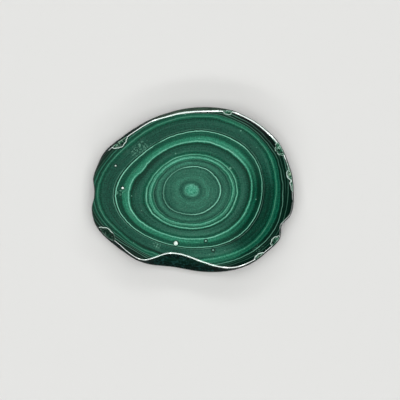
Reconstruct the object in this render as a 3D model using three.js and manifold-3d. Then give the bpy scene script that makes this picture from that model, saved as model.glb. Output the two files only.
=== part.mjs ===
// A polished slice of malachite: one solid stone cut across a stalactite, so that its growth
// rings stand on edge in a flat face. The slice lies on its sawn back with the polished face up.
// Millimetres, +Z up. The origin is on the back, straight under the eye of the rings.

import * as THREE from 'three';
import { mergeVertices } from 'three/addons/utils/BufferGeometryUtils.js';
import Module from 'manifold-3d';

// Driving dimensions of the slice
const THICKNESS = 5.0;
const SKIN_HEIGHT = 1.7; // height at which the skin stands out furthest
const FACE_ROUNDING = 0.3; // radius of the polished arris round the face
const BACK_ROUNDING = 0.35; // radius of the eased edge round the back
const BACK_INSET = 0.55; // how far the back's edge lies inside the skin
const SKIN_LUMP = 0.09; // height of the low lumps on the natural skin
const LUMPS_ROUND = [11, 17]; // how many lumps go round the rim, in two overlaid sets
const LUMP_LEAN = 0.5; // how far the lumps shift round as they rise, radians of wave per mm

// Facets
const STEPS_ROUND = 240;
const WALL_ROWS = 8;
const ROUNDING_ROWS = 3;
const CHIP_DETAIL = 4;
const PIT_DETAIL = 1;

// The skin seen from above, as [angle in degrees from +X, reach from the eye].
const SKIN = [
  // right end, and the long run up to the flattened top
  [0, 20.6], [8, 20.55], [15, 20.35], [25, 20.2], [30, 20.05], [38, 19.5], [45, 19.1],
  [55, 18.4], [62, 18.1], [70, 17.55], [80, 16.85], [90, 16.4], [100, 16.15], [108, 16.05],
  // down to the left end, with a shallow dimple between two lobes
  [118, 16.25], [128, 16.55], [136, 16.95], [143, 17.45], [150, 18.3], [156, 19.0],
  [164, 19.4], [173, 19.85], [179, 19.4], [184, 19.5], [190, 20.25], [198, 20.45],
  // blunt corner at lower left, then the nearly straight underside
  [203, 20.05], [210, 19.3], [217, 18.7], [225, 18.1], [232, 17.7], [240, 16.9],
  [248, 16.1], [256, 15.7], [264, 15.7], [274, 16.1], [284, 16.9], [294, 17.75],
  [304, 18.6], [314, 19.3], [322, 19.7],
  // the step where a flake has gone at lower right
  [330, 20.3], [333.5, 20.15], [338.5, 19.5], [342, 19.9], [346, 20.6], [352, 20.75],
];

// How far the middle of the arris round the polished face stops short of the skin, as
// [angle, distance].
const SHOULDER = [
  // a narrow margin, wider along the top
  [0, 0.38], [30, 0.38], [60, 0.36], [70, 0.72], [78, 0.82], [88, 0.88], [100, 0.68],
  [112, 0.48], [122, 0.4], [136, 0.5], [150, 0.5], [160, 0.35], [176, 0.24], [198, 0.22],
  [206, 0.5], [216, 0.7], [224, 0.5], [233, 0.46],
  // the bay, where the side of the stone falls away in a hollow slope
  [237, 0.62], [241, 1.35], [245, 2.05], [250, 2.56], [256, 2.72], [264, 2.66],
  [271, 2.42], [278, 2.04], [286, 1.48], [293, 0.92], [299, 0.56], [306, 0.48],
  [320, 0.42], [334, 0.34], [348, 0.32],
];

// Chips broken out of the face's edge: the angle and reach of the middle of each scoop, its
// half sizes along the rim, towards the eye and down, and how many degrees it is turned.
const CHIPS = [
  { angle: 145.3, reach: 18.1, along: 1.9, inward: 1.75, down: 1.0, turn: 10 },
  { angle: 65.0, reach: 18.2, along: 1.45, inward: 1.4, down: 0.8, turn: 0 },
  { angle: 25.3, reach: 20.15, along: 1.45, inward: 1.6, down: 1.0, turn: -8 },
  { angle: 8.3, reach: 20.6, along: 1.15, inward: 1.35, down: 0.8, turn: 10 },
  { angle: 2.2, reach: 20.7, along: 1.2, inward: 0.75, down: 0.6, turn: 0 },
  { angle: 15.5, reach: 20.55, along: 1.5, inward: 0.6, down: 0.5, turn: 0 },
  { angle: 329.4, reach: 20.2, along: 1.45, inward: 1.55, down: 1.2, turn: 0 },
  { angle: 314.2, reach: 19.25, along: 0.9, inward: 0.95, down: 0.7, turn: -12 },
  { angle: 318.6, reach: 19.6, along: 0.75, inward: 0.75, down: 0.6, turn: 12 },
  { angle: 211.0, reach: 19.4, along: 2.5, inward: 1.7, down: 2.3, turn: -10 },
];
const CHIP_ROUGHNESS = 0.09; // share of a scoop's size that its broken surface strays
// The two ripples that cross a scoop: their directions, as long as they are close together.
const CHIP_RIPPLES = [new THREE.Vector3(7, 0, 3), new THREE.Vector3(0, 5, -6)];

// Open pits in the polished face: place from the eye and radius.
const PITS = [
  { x: -2.95, y: -10.6, radius: 0.34 },
  { x: -15.15, y: 4.8, radius: 0.22 },
  { x: -13.55, y: 0.4, radius: 0.24 },
  { x: 2.85, y: -10.0, radius: 0.18 },
  { x: 4.45, y: -11.8, radius: 0.2 },
];
const PIT_DEPTH_SHARE = 0.75; // depth of a pit over its radius

const MERGE_DISTANCE = 1e-5; // corners of a unit ball this close are one corner

const wasm = await Module();
wasm.setup();

// Reads a closed outline at any angle, on a smooth curve through its points.
function smoothAt(outline, degrees) {
  const count = outline.length;
  const point = (i) => {
    const turns = Math.floor(i / count);
    const [angle, value] = outline[i - turns * count];
    return [angle + 360 * turns, value];
  };
  const wrapped = ((degrees % 360) + 360) % 360;
  let i = 0;
  while (point(i + 1)[0] <= wrapped) i += 1;
  const [p0, p1, p2, p3] = [i - 1, i, i + 1, i + 2].map(point);
  const span = p2[0] - p1[0];
  const t = (wrapped - p1[0]) / span;
  const slope1 = ((p2[1] - p0[1]) / (p2[0] - p0[0])) * span;
  const slope2 = ((p3[1] - p1[1]) / (p3[0] - p1[0])) * span;
  const bend1 = 3 * (p2[1] - p1[1]) - 2 * slope1 - slope2;
  const bend2 = 2 * (p1[1] - p2[1]) + slope1 + slope2;
  return p1[1] + t * (slope1 + t * (bend1 + t * bend2));
}

const smoothstep = (t) => t * t * (3 - 2 * t);
const radians = THREE.MathUtils.degToRad;

// Low lumps of the natural skin: a few waves round the rim that lean as they rise.
function skinLump(angle, height) {
  const a = radians(angle);
  const lean = height * LUMP_LEAN;
  const [few, many] = LUMPS_ROUND;
  return (SKIN_LUMP / 2) * (Math.sin(few * a + lean) + Math.sin(many * a - 2 * lean + 1));
}

// One section of the slice at an angle: [reach, height] from the edge of the back, up the
// wall and over the arris to the edge of the flat face.
function sectionAt(angle) {
  const skin = smoothAt(SKIN, angle);
  const faceEdge = skin - smoothAt(SHOULDER, angle) + FACE_ROUNDING / 2;
  const backEdge = skin - BACK_INSET;
  const wallTop = THICKNESS - FACE_ROUNDING;
  const section = [];

  for (let i = 0; i <= ROUNDING_ROWS; i += 1) {
    const turn = (i / ROUNDING_ROWS) * (Math.PI / 2);
    const reach = backEdge - BACK_ROUNDING * (1 - Math.sin(turn));
    section.push([reach, BACK_ROUNDING * (1 - Math.cos(turn))]);
  }
  for (let i = 1; i < WALL_ROWS; i += 1) {
    const height = BACK_ROUNDING + ((wallTop - BACK_ROUNDING) * i) / WALL_ROWS;
    const below = Math.min(1, (height - BACK_ROUNDING) / (SKIN_HEIGHT - BACK_ROUNDING));
    const above = Math.max(0, (height - SKIN_HEIGHT) / (wallTop - SKIN_HEIGHT));
    const bulge = backEdge + (skin - backEdge) * Math.sin((below * Math.PI) / 2);
    const slope = (skin - faceEdge) * smoothstep(above);
    const lump = skinLump(angle, height) * Math.sin((Math.PI * i) / WALL_ROWS);
    section.push([bulge - slope + lump, height]);
  }
  for (let i = 0; i <= ROUNDING_ROWS; i += 1) {
    const turn = (i / ROUNDING_ROWS) * (Math.PI / 2);
    const reach = faceEdge - FACE_ROUNDING * (1 - Math.cos(turn));
    section.push([reach, wallTop + FACE_ROUNDING * Math.sin(turn)]);
  }
  return section;
}

// The unbroken slice: the sections joined round the eye, closed by two flat faces.
function sliceGeometry() {
  const positions = [0, 0, 0, 0, 0, THICKNESS];
  const indices = [];
  const rows = sectionAt(0).length;
  const vertex = (step, row) => 2 + (step % STEPS_ROUND) * rows + row;

  for (let step = 0; step < STEPS_ROUND; step += 1) {
    const angle = (360 * step) / STEPS_ROUND;
    const direction = new THREE.Vector2(Math.cos(radians(angle)), Math.sin(radians(angle)));
    for (const [reach, height] of sectionAt(angle)) {
      positions.push(direction.x * reach, direction.y * reach, height);
    }
    indices.push(0, vertex(step + 1, 0), vertex(step, 0));
    indices.push(1, vertex(step, rows - 1), vertex(step + 1, rows - 1));
    for (let row = 0; row < rows - 1; row += 1) {
      const [a, b] = [vertex(step, row), vertex(step + 1, row)];
      indices.push(a, b, b + 1, a, b + 1, a + 1);
    }
  }
  const geometry = new THREE.BufferGeometry();
  geometry.setAttribute('position', new THREE.Float32BufferAttribute(positions, 3));
  geometry.setIndex(indices);
  return geometry;
}

// A ball with the given number of facets, ready to be shaped.
function ballGeometry(detail) {
  const ball = new THREE.IcosahedronGeometry(1, detail);
  ball.deleteAttribute('normal');
  ball.deleteAttribute('uv');
  return mergeVertices(ball, MERGE_DISTANCE);
}

// The scoop of one chip: an egg whose surface ripples a little, as a shell-shaped break does.
function chipGeometry(chip) {
  const scoop = ballGeometry(CHIP_DETAIL);
  const place = scoop.getAttribute('position');
  const point = new THREE.Vector3();
  for (let i = 0; i < place.count; i += 1) {
    point.fromBufferAttribute(place, i);
    const [first, second] = CHIP_RIPPLES.map((ripple) => ripple.dot(point));
    const stray = Math.sin(first) + Math.sin(second + 2);
    point.multiplyScalar(1 + (CHIP_ROUGHNESS / 2) * stray);
    place.setXYZ(i, point.x, point.y, point.z);
  }
  scoop.scale(chip.inward, chip.along, chip.down);
  scoop.rotateZ(radians(chip.angle + chip.turn));
  const angle = radians(chip.angle);
  scoop.translate(chip.reach * Math.cos(angle), chip.reach * Math.sin(angle), THICKNESS);
  return scoop;
}

function pitGeometry(pit) {
  const dent = ballGeometry(PIT_DETAIL);
  dent.scale(pit.radius, pit.radius, pit.radius * PIT_DEPTH_SHARE);
  dent.translate(pit.x, pit.y, THICKNESS);
  return dent;
}

function solidOf(geometry) {
  return new wasm.Manifold(new wasm.Mesh({
    numProp: 3,
    vertProperties: new Float32Array(geometry.getAttribute('position').array),
    triVerts: new Uint32Array(geometry.getIndex().array),
  }));
}

function geometryOf(solid) {
  const { vertProperties, triVerts } = solid.getMesh();
  const geometry = new THREE.BufferGeometry();
  geometry.setAttribute('position', new THREE.BufferAttribute(vertProperties, 3));
  geometry.setIndex(new THREE.BufferAttribute(triVerts, 1));
  geometry.computeVertexNormals();
  return geometry;
}

// The slab is the slice with its chips and pits taken out.
function slabGeometry() {
  let slab = solidOf(sliceGeometry());
  for (const chip of CHIPS) {
    slab = slab.subtract(solidOf(chipGeometry(chip)));
  }
  for (const pit of PITS) {
    slab = slab.subtract(solidOf(pitGeometry(pit)));
  }
  return geometryOf(slab);
}

const malachite = new THREE.MeshStandardMaterial({
  name: 'malachite',
  color: new THREE.Color(0x1f6b4d),
  roughness: 0.15,
  metalness: 0,
});

const slab = new THREE.Mesh(slabGeometry(), malachite);
slab.name = 'malachite_slab';

const part = new THREE.Group();
part.name = 'polished_malachite_slab';
part.add(slab);

export default part;
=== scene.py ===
# %% [markdown]
# A polished slice of malachite lies on its sawn back, with its growth rings turned up to the light.
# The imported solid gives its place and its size. This lesson makes the same stone again as one fine
# mesh, gives each kind of surface its own finish, and sets it on a pale floor under soft light.

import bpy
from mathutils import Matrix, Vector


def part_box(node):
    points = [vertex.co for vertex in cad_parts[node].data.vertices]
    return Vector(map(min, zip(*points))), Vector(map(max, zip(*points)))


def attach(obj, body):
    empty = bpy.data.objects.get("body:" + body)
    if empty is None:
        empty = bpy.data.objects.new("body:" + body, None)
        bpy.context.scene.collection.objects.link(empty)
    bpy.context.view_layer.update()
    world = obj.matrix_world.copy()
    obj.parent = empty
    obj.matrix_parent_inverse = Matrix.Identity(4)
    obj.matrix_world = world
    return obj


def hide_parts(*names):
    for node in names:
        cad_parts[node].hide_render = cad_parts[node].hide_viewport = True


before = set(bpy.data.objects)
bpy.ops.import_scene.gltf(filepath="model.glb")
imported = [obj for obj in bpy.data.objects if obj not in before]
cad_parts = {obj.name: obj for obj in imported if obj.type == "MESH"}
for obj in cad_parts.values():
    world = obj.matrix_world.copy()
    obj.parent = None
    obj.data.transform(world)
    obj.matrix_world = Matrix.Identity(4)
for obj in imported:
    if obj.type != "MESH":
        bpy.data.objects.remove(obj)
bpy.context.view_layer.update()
slab_low, slab_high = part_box("malachite_slab")
print("slab in metres:", [round(side, 5) for side in slab_high - slab_low])

# %% [markdown]
# Blender measures in metres, and a stone of this size is easier to describe in millimetres. The
# thickness isn't written a second time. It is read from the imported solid, so that the two agree.

# %% Modules and units
import math

import bpy
from mathutils import Vector

MM = 0.001
THICKNESS = (slab_high.z - slab_low.z) / MM
print("thickness in mm:", round(THICKNESS, 3))

# %% [markdown]
# Seen from above, the slice has the outline of the stalactite that it was sawn from: a lumpy oval
# with a blunt corner, a dimple and a hollow bay. No formula gives that, so it is a short list of
# points round the eye of the rings. Two more lists say how far inside it the polished face ends, and
# how wide the arris is that was taken off round the face. Sizes are in millimetres.

# %% The outline
SKIN = [  # angle in degrees from +X, reach of the skin from the eye
    # right end, and the long run up to the flattened top
    (0, 20.6), (8, 20.55), (15, 20.35), (25, 20.2), (30, 20.05), (38, 19.5), (45, 19.1),
    (55, 18.5), (62, 18.2), (70, 17.65), (80, 17.07), (90, 16.65), (100, 16.43), (108, 16.33),
    # down to the left end, with a shallow dimple between two lobes
    (118, 16.5), (128, 16.75), (136, 17.18), (143, 17.68), (150, 18.46), (156, 19.13),
    (164, 19.5), (173, 19.9), (179, 19.5), (184, 19.6), (190, 20.33), (198, 20.53),
    # blunt corner at lower left, then the nearly straight underside
    (203, 20.23), (210, 19.5), (217, 18.8), (225, 18.2), (232, 17.8), (240, 17.12),
    (248, 16.32), (256, 15.84), (264, 15.82), (274, 16.27), (284, 16.9), (294, 17.75),
    (304, 18.6), (314, 19.3), (322, 19.7),
    # the step where a flake has gone at lower right
    (330, 20.3), (333.5, 20.15), (338.5, 19.5), (342, 19.9), (346, 20.6), (352, 20.75),
]
SHOULDER = [  # angle, how far the middle of the arris stops short of the skin
    # a narrow margin, wider along the top
    (0, 0.38), (30, 0.38), (60, 0.36), (70, 0.72), (78, 0.95), (88, 0.92), (100, 0.82),
    (112, 0.71), (122, 0.58), (136, 0.72), (150, 0.64), (160, 0.45), (176, 0.3), (198, 0.3),
    (206, 0.69), (216, 0.85), (224, 0.6), (233, 0.56),
    # the bay, where the side of the stone falls away in a hollow slope
    (237, 0.82), (241, 1.57), (245, 2.27), (250, 2.76), (256, 2.86), (264, 2.78),
    (271, 2.57), (278, 2.15), (286, 1.48), (293, 0.92), (299, 0.56), (306, 0.48),
    (320, 0.42), (334, 0.34), (348, 0.32),
]
ARRIS = [  # angle, how wide the arris is
    (0, 0.18), (12, 0.18), (22, 0.22), (32, 0.34), (50, 0.36), (62, 0.32), (80, 0.32), (92, 0.42),
    (104, 0.37), (120, 0.26), (138, 0.17), (146, 0.14), (152, 0.1), (200, 0.1), (214, 0.13), (228, 0.16),
    (236, 0.2), (242, 0.3), (285, 0.34), (303, 0.26), (312, 0.17), (318, 0.1), (329, 0.1), (337, 0.2),
    (345, 0.2), (351, 0.16),
]
print("outline:", len(SKIN), "points")

# %% [markdown]
# The rim is a closed line of points made from those lists. A list can't be asked how far out it runs
# at any angle, so a short function does it: between two listed points it follows a cubic curve that
# takes its slopes from the neighbours. Each point of the rim carries what its section needs to know,
# as named attributes.

# %% The rim
STEPS_ROUND = 640


def smooth_at(outline, degrees):
    """Reads a closed outline at any angle, on a smooth curve through its points."""
    count = len(outline)

    def point(i):
        turns, index = divmod(i, count)
        angle, value = outline[index]
        return angle + 360 * turns, value

    start = max(i for i in range(count) if outline[i][0] <= degrees % 360)
    (a0, v0), (a1, v1), (a2, v2), (a3, v3) = [point(start + i) for i in (-1, 0, 1, 2)]
    t = (degrees % 360 - a1) / (a2 - a1)
    slope1 = (v2 - v0) / (a2 - a0) * (a2 - a1)
    slope2 = (v3 - v1) / (a3 - a1) * (a2 - a1)
    bend1 = 3 * (v2 - v1) - 2 * slope1 - slope2
    bend2 = 2 * (v1 - v2) + slope1 + slope2
    return v1 + t * (slope1 + t * (bend1 + t * bend2))


def line_object(name, places, closed, values):
    """An object that is only a line of points, each with one value of every named attribute."""
    count = len(places)
    mesh = bpy.data.meshes.new(name)
    mesh.from_pydata(places, [(i, (i + 1) % count) for i in range(count if closed else count - 1)], [])
    for key, numbers in values.items():
        mesh.attributes.new(key, "FLOAT", "POINT").data.foreach_set("value", numbers)
    line = bpy.data.objects.new(name, mesh)
    bpy.context.scene.collection.objects.link(line)
    return line


def face_line_at(degrees):
    """Where the arris meets the face, if it were measured along the radius."""
    return smooth_at(SKIN, degrees) - smooth_at(SHOULDER, degrees) + smooth_at(ARRIS, degrees) / 2


def rim_line():
    """The rim of the slice: at each step round, where the skin, the arris and its width are. Where the
    rim runs aslant to the radius, the arris takes more of the radius to be as wide as elsewhere."""
    places, values = [], {"angle": [], "face_line": [], "margin": [], "arris": [], "arris_drop": []}
    for step in range(STEPS_ROUND):
        degrees = 360 * step / STEPS_ROUND
        angle = math.radians(degrees)
        skin = smooth_at(SKIN, degrees) * MM
        face_line = face_line_at(degrees) * MM
        slant = (face_line_at(degrees + 1) - face_line_at(degrees - 1)) / math.radians(2) * MM / face_line
        width = smooth_at(ARRIS, degrees) * MM
        aslant = width * math.hypot(1, slant)
        places.append((skin * math.cos(angle), skin * math.sin(angle), 0))
        for key, value in zip(values, (angle, face_line, skin - face_line, aslant, width)):
            values[key].append(value)
    return line_object("polished_malachite", places, True, values)


slab = rim_line()
print("rim:", len(slab.data.vertices), "points")

# %% [markdown]
# A section through the slice is a rule: a flat back with an eased edge, a wall that swells to the
# skin and leans in again, a narrow arris that the polisher took off, and a flat face. It is kept as
# rows, and each row says where it lies between the back, the skin and the face, so that one section
# serves all round, even where the bay makes the margin wide. The middle facet of the arris has one
# tilt over most of its width, so that all of it mirrors the same light. Rows crowd at the rim of the
# face, where chips are broken out and need a fine mesh to end in.

# %% The section
SKIN_HEIGHT = 1.7
BACK_ROUNDING = 0.35
BACK_INSET = 0.55
BACK_ROWS = 6
WALL_ROWS = 26
ARRIS_TILT = 10
ARRIS_FACETS = [  # tilt in degrees, share of the slope
    (72, 0.06), (54, 0.08), (36, 0.08), (22, 0.06),
    (ARRIS_TILT, 0.05), (ARRIS_TILT, 0.62), (ARRIS_TILT, 0.05), (5, 0.03),
]
FACE_INSETS = [0.04, 0.1, 0.2] + [0.2 * i for i in range(2, 14)]
FAN_SHARES = [0.66, 0.44, 0.22, 0.0]  # rows from there to the middle, as shares of the reach
BACK, WALL, FACE = -1, 0, 1  # the zones, which have different finishes


def row(height, share=1.0, out=1.0, inset=0.0, arris_in=0.0, arris_down=0.0, rough=0.0, zone=WALL):
    """One row: its height and inset in mm, and its shares of the margin, the arris and the lumps."""
    return {"share": share, "out": out, "inset": inset * MM, "arris_in": arris_in, "height": height * MM,
            "arris_down": arris_down, "rough": rough, "zone": zone}


def back_rows():
    """The back from its middle outwards, and the eased edge round it."""
    rows = [row(0, share=share, zone=BACK) for share in reversed(FAN_SHARES)]
    for i in range(BACK_ROWS + 1):
        turn = i / BACK_ROWS * math.pi / 2
        inset = BACK_INSET + BACK_ROUNDING * (1 - math.sin(turn))
        zone = BACK if i <= BACK_ROWS / 2 else WALL
        rows.append(row(BACK_ROUNDING * (1 - math.cos(turn)), inset=inset, zone=zone))
    return rows


def wall_rows(wall_top):
    """The wall, out to the skin and in again to the foot of the arris."""
    rows = []
    for i in range(1, WALL_ROWS):
        climb = i / WALL_ROWS
        height = BACK_ROUNDING + (wall_top - BACK_ROUNDING) * climb
        below = min(1, (height - BACK_ROUNDING) / (SKIN_HEIGHT - BACK_ROUNDING))
        above = max(0, (height - SKIN_HEIGHT) / (wall_top - SKIN_HEIGHT))
        rows.append(row(height, out=1 - above * above * (3 - 2 * above),
                        inset=BACK_INSET * (1 - math.sin(below * math.pi / 2)),
                        rough=math.sin(math.pi * climb)))
    return rows


def arris_rows():
    """Narrow facets from the wall to the face, (tilt, length), scaled to cover the arris once."""
    width = sum(math.cos(math.radians(tilt)) * length for tilt, length in ARRIS_FACETS)
    drop = sum(math.sin(math.radians(tilt)) * length for tilt, length in ARRIS_FACETS) / width
    across, down = 0.0, drop
    rows = [row(THICKNESS, out=0, arris_down=drop, zone=FACE)]
    for tilt, length in ARRIS_FACETS:
        across += math.cos(math.radians(tilt)) * length / width
        down -= math.sin(math.radians(tilt)) * length / width
        rows.append(row(THICKNESS, out=0, arris_in=across, arris_down=down, zone=FACE))
    return rows


def face_rows():
    """The face from the arris inwards to its middle."""
    beside_arris = [row(THICKNESS, out=0, inset=inset, arris_in=1, zone=FACE) for inset in FACE_INSETS]
    return beside_arris + [row(THICKNESS, share=share, out=0, zone=FACE) for share in FAN_SHARES]


def section_line():
    """Every row of the section, from the middle of the back round to the middle of the face."""
    arris = arris_rows()
    wall_top = THICKNESS - arris[0]["arris_down"] * ARRIS[0][1]
    rows = back_rows() + wall_rows(wall_top) + arris + face_rows()
    places = [(i * MM, 0, 0) for i in range(len(rows))]
    return line_object("section", places, False, {key: [r[key] for r in rows] for key in rows[0]})


section = section_line()
print("section:", len(section.data.vertices), "rows")

# %% [markdown]
# Node trees are built from small steps, so a few helpers keep them readable: one makes a group with
# named inputs and outputs, one adds a node and fills its inputs with numbers or links, one lays the
# nodes out in columns, and one gives a piece its modifier.

# %% Helpers for node trees
COLUMN_WIDTH = 200
NODE_HEIGHT = 180


def new_group(name, kind, inputs, outputs):
    """A node group. inputs is {name: (socket type, value)}, outputs is {name: socket type}."""
    group = bpy.data.node_groups.new(name, kind)
    for key, (socket_type, value) in inputs.items():
        socket = group.interface.new_socket(name=key, in_out="INPUT", socket_type=socket_type)
        if value is not None:
            socket.default_value = value
    for key, socket_type in outputs.items():
        group.interface.new_socket(name=key, in_out="OUTPUT", socket_type=socket_type)
    return group


def add(tree, kind, inputs=(), **settings):
    """Adds a node. inputs go by place or by name; a socket is linked, and a value is set."""
    node = tree.nodes.new(kind)
    for key, value in settings.items():
        setattr(node, key, value)
    for key, value in inputs.items() if isinstance(inputs, dict) else enumerate(inputs):
        if isinstance(value, bpy.types.NodeSocket):
            tree.links.new(value, node.inputs[key])
        else:
            node.inputs[key].default_value = value
    return node


def made(tree, kind, inputs=(), **settings):
    """Adds a node and gives back its first output."""
    return add(tree, kind, inputs, **settings).outputs[0]


def use(tree, group, inputs):
    """Places a node group, fills its named inputs, and gives back its outputs."""
    return add(tree, "ShaderNodeGroup", inputs, node_tree=group).outputs


def spread_out(tree):
    """Moves the nodes into columns, each to the right of what feeds it."""
    column = {}

    def depth(node):
        if node.name not in column:
            feeds = [link.from_node for socket in node.inputs for link in socket.links]
            column[node.name] = 1 + max([depth(feed) for feed in feeds], default=-1)
        return column[node.name]

    filled = {}
    for node in tree.nodes:
        place = depth(node)
        filled[place] = filled.get(place, 0) + 1
        node.location = (COLUMN_WIDTH * place, -NODE_HEIGHT * filled[place])


def close_group(tree, outputs):
    """Ends a node group with its outputs, in their order."""
    add(tree, "NodeGroupOutput", outputs)
    spread_out(tree)
    return tree


def add_modifier(piece, group, **values):
    """Gives a piece a Geometry Nodes modifier; spaces in an input's name are written as _ here."""
    modifier = piece.modifiers.new(group.name, "NODES")
    modifier.node_group = group
    for item in group.interface.items_tree:
        key = item.name.replace(" ", "_")
        if item.in_out == "INPUT" and key in values:
            modifier[item.identifier] = values[key]


# %% [markdown]
# Most nodes only do a sum, so each common kind of sum has a name too: a plain one, one on vectors, a
# smooth run from one value to another, noise, and a number read from the mesh.

# %% Helpers for sums
def calc(tree, operation, *values, clamp=False):
    """One sum of a Math node."""
    return made(tree, "ShaderNodeMath", values, operation=operation, use_clamp=clamp)


def vector_calc(tree, operation, *values):
    """One sum of a Vector Math node that gives a vector."""
    return add(tree, "ShaderNodeVectorMath", values, operation=operation).outputs["Vector"]


def vector_value(tree, operation, *values):
    """One sum of a Vector Math node that gives a number."""
    return add(tree, "ShaderNodeVectorMath", values, operation=operation).outputs["Value"]


def scaled(tree, vector, factor):
    """A vector times a number."""
    return made(tree, "ShaderNodeVectorMath", {"Vector": vector, "Scale": factor}, operation="SCALE")


def ease(tree, value, start, end, low=0.0, high=1.0):
    """Runs smoothly from low at start to high at end."""
    return made(tree, "ShaderNodeMapRange", [value, start, end, low, high], interpolation_type="SMOOTHSTEP")


def noise(tree, vector, scale, detail=2.0, seed=0.0):
    """Noise at the given number of lumps per unit. Another seed gives another pattern."""
    return made(tree, "ShaderNodeTexNoise",
                {"Vector": vector, "W": seed, "Scale": scale, "Detail": detail}, noise_dimensions="4D")


def swell(tree, vector, scale, detail, seed):
    """Noise that swings about 0."""
    return calc(tree, "SUBTRACT", noise(tree, vector, scale, detail, seed), 0.5)


def read(tree, name):
    """A number that the points or faces of the mesh carry."""
    return made(tree, "GeometryNodeInputNamedAttribute", [name], data_type="FLOAT")


def compare(tree, value, operation, limit):
    """True where the value passes the limit."""
    return made(tree, "FunctionNodeCompare", [value, limit], data_type="FLOAT", operation=operation)


# %% [markdown]
# The stone has five kinds of surface: the polished face, the natural skin, the sawn back, the
# broken chips and the pale powder packed in its pits. Their materials are made empty here, so that
# the mesh can be told which face has which finish, and they are filled in further down.

# %% Names of the finishes
POLISHED, SKINNED, SAWN, BROKEN, POWDER = [
    bpy.data.materials.new(name)
    for name in ("polished_face", "natural_skin", "sawn_back", "fresh_break", "packed_powder")
]
print("finishes to fill in:", [material.name for material in (POLISHED, SKINNED, SAWN, BROKEN, POWDER)])

# %% [markdown]
# The body is the section carried round the rim. Curve to Mesh joins every row of the section to
# every step of the rim, and the attributes of both come along with it, so each point of the mesh
# can then be set in its place by one sum. The middle rows meet in a point on the back and on the
# face, where Merge by Distance closes them. Building it in Geometry Nodes keeps the rule in sight:
# change a list above, and the whole stone follows.

# %% The tree that sweeps the slice
ZONE_LIMIT = 0.6  # between two rows of different zones, the finish changes past this share


def sweep(tree, rim, section_object):
    """Carries the section round the rim, with the faces of the mesh turned outwards."""
    section_shape = add(tree, "GeometryNodeObjectInfo", {"Object": section_object}).outputs["Geometry"]
    rim_curve = made(tree, "GeometryNodeMeshToCurve", [rim])
    section_curve = made(tree, "GeometryNodeMeshToCurve", [section_shape])
    swept = made(tree, "GeometryNodeCurveToMesh", {"Curve": rim_curve, "Profile Curve": section_curve})
    return made(tree, "GeometryNodeFlipFaces", [swept])


def place_in_stone(tree):
    """Where each point of the sweep belongs: its row's shares of the measures of its step."""
    edge = calc(tree, "MULTIPLY_ADD", read(tree, "margin"), read(tree, "out"), read(tree, "face_line"))
    taken_in = calc(tree, "MULTIPLY_ADD", read(tree, "arris"), read(tree, "arris_in"), read(tree, "inset"))
    reach = calc(tree, "SUBTRACT", calc(tree, "MULTIPLY", edge, read(tree, "share")), taken_in)
    lowered = calc(tree, "MULTIPLY", read(tree, "arris_drop"), read(tree, "arris_down"))
    height = calc(tree, "SUBTRACT", read(tree, "height"), lowered)
    angle = read(tree, "angle")
    x = calc(tree, "MULTIPLY", calc(tree, "COSINE", angle), reach)
    y = calc(tree, "MULTIPLY", calc(tree, "SINE", angle), reach)
    return made(tree, "ShaderNodeCombineXYZ", [x, y, height])


def skin_relief(tree, given):
    """How far and which way the skin is pushed: low lumps with a finer grain on them."""
    position = made(tree, "GeometryNodeInputPosition")
    lumps = swell(tree, position, given["Lumps per metre"], 1.0, given["Seed"])
    grains = swell(tree, position, given["Grains per metre"], 2.0, given["Seed"])
    relief = calc(tree, "MULTIPLY_ADD", lumps, given["Lump height"],
                  calc(tree, "MULTIPLY", grains, given["Grain height"]))
    return scaled(tree, made(tree, "GeometryNodeInputNormal"),
                  calc(tree, "MULTIPLY", relief, read(tree, "rough")))


def finish_by_zone(tree, shape, given):
    """Gives all of it the wall's finish, and then the face and the back their own."""
    zone = read(tree, "zone")
    shape = made(tree, "GeometryNodeSetMaterial", {"Geometry": shape, "Material": given["Wall finish"]})
    for operation, limit, finish in (("GREATER_THAN", ZONE_LIMIT, "Face finish"),
                                     ("LESS_THAN", -ZONE_LIMIT, "Back finish")):
        chosen = compare(tree, zone, operation, limit)
        shape = made(tree, "GeometryNodeSetMaterial",
                     {"Geometry": shape, "Selection": chosen, "Material": given[finish]})
    return shape


def slice_tree():
    tree = new_group("Slice round the eye", "GeometryNodeTree", {
        "Rim": ("NodeSocketGeometry", None), "Section": ("NodeSocketObject", None),
        "Lump height": ("NodeSocketFloat", 0.1 * MM), "Lumps per metre": ("NodeSocketFloat", 400.0),
        "Grain height": ("NodeSocketFloat", 0.03 * MM), "Grains per metre": ("NodeSocketFloat", 2200.0),
        "Seed": ("NodeSocketFloat", 1.0), "Weld distance": ("NodeSocketFloat", 0.001 * MM),
        "Face finish": ("NodeSocketMaterial", None), "Wall finish": ("NodeSocketMaterial", None),
        "Back finish": ("NodeSocketMaterial", None),
    }, {"Slice": "NodeSocketGeometry"})
    given = add(tree, "NodeGroupInput").outputs
    swept = sweep(tree, given["Rim"], given["Section"])
    placed = made(tree, "GeometryNodeSetPosition", {"Geometry": swept, "Position": place_in_stone(tree)})
    welded = made(tree, "GeometryNodeMergeByDistance",
                  {"Geometry": placed, "Distance": given["Weld distance"]})
    grown = made(tree, "GeometryNodeSetPosition", {"Geometry": welded, "Offset": skin_relief(tree, given)})
    smooth = made(tree, "GeometryNodeSetShadeSmooth", {"Geometry": grown, "Shade Smooth": True})
    finished = finish_by_zone(tree, smooth, given)
    return close_group(tree, [made(tree, "GeometryNodeRealizeInstances", [finished])])


add_modifier(slab, slice_tree(), Section=section, Seed=3.0, Face_finish=POLISHED,
             Wall_finish=SKINNED, Back_finish=SAWN)
print("slice tree has", len(slab.modifiers[0].node_group.nodes), "nodes")

# %% [markdown]
# Along the rim the stone has lost nine chips. A break in malachite is shell-shaped and rough, so
# each is cut by a ball pressed into an egg. Pits in the face are the same thing at a small size, so
# both are kept as points that carry the half sizes and the turn of the ball to cut with.

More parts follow.
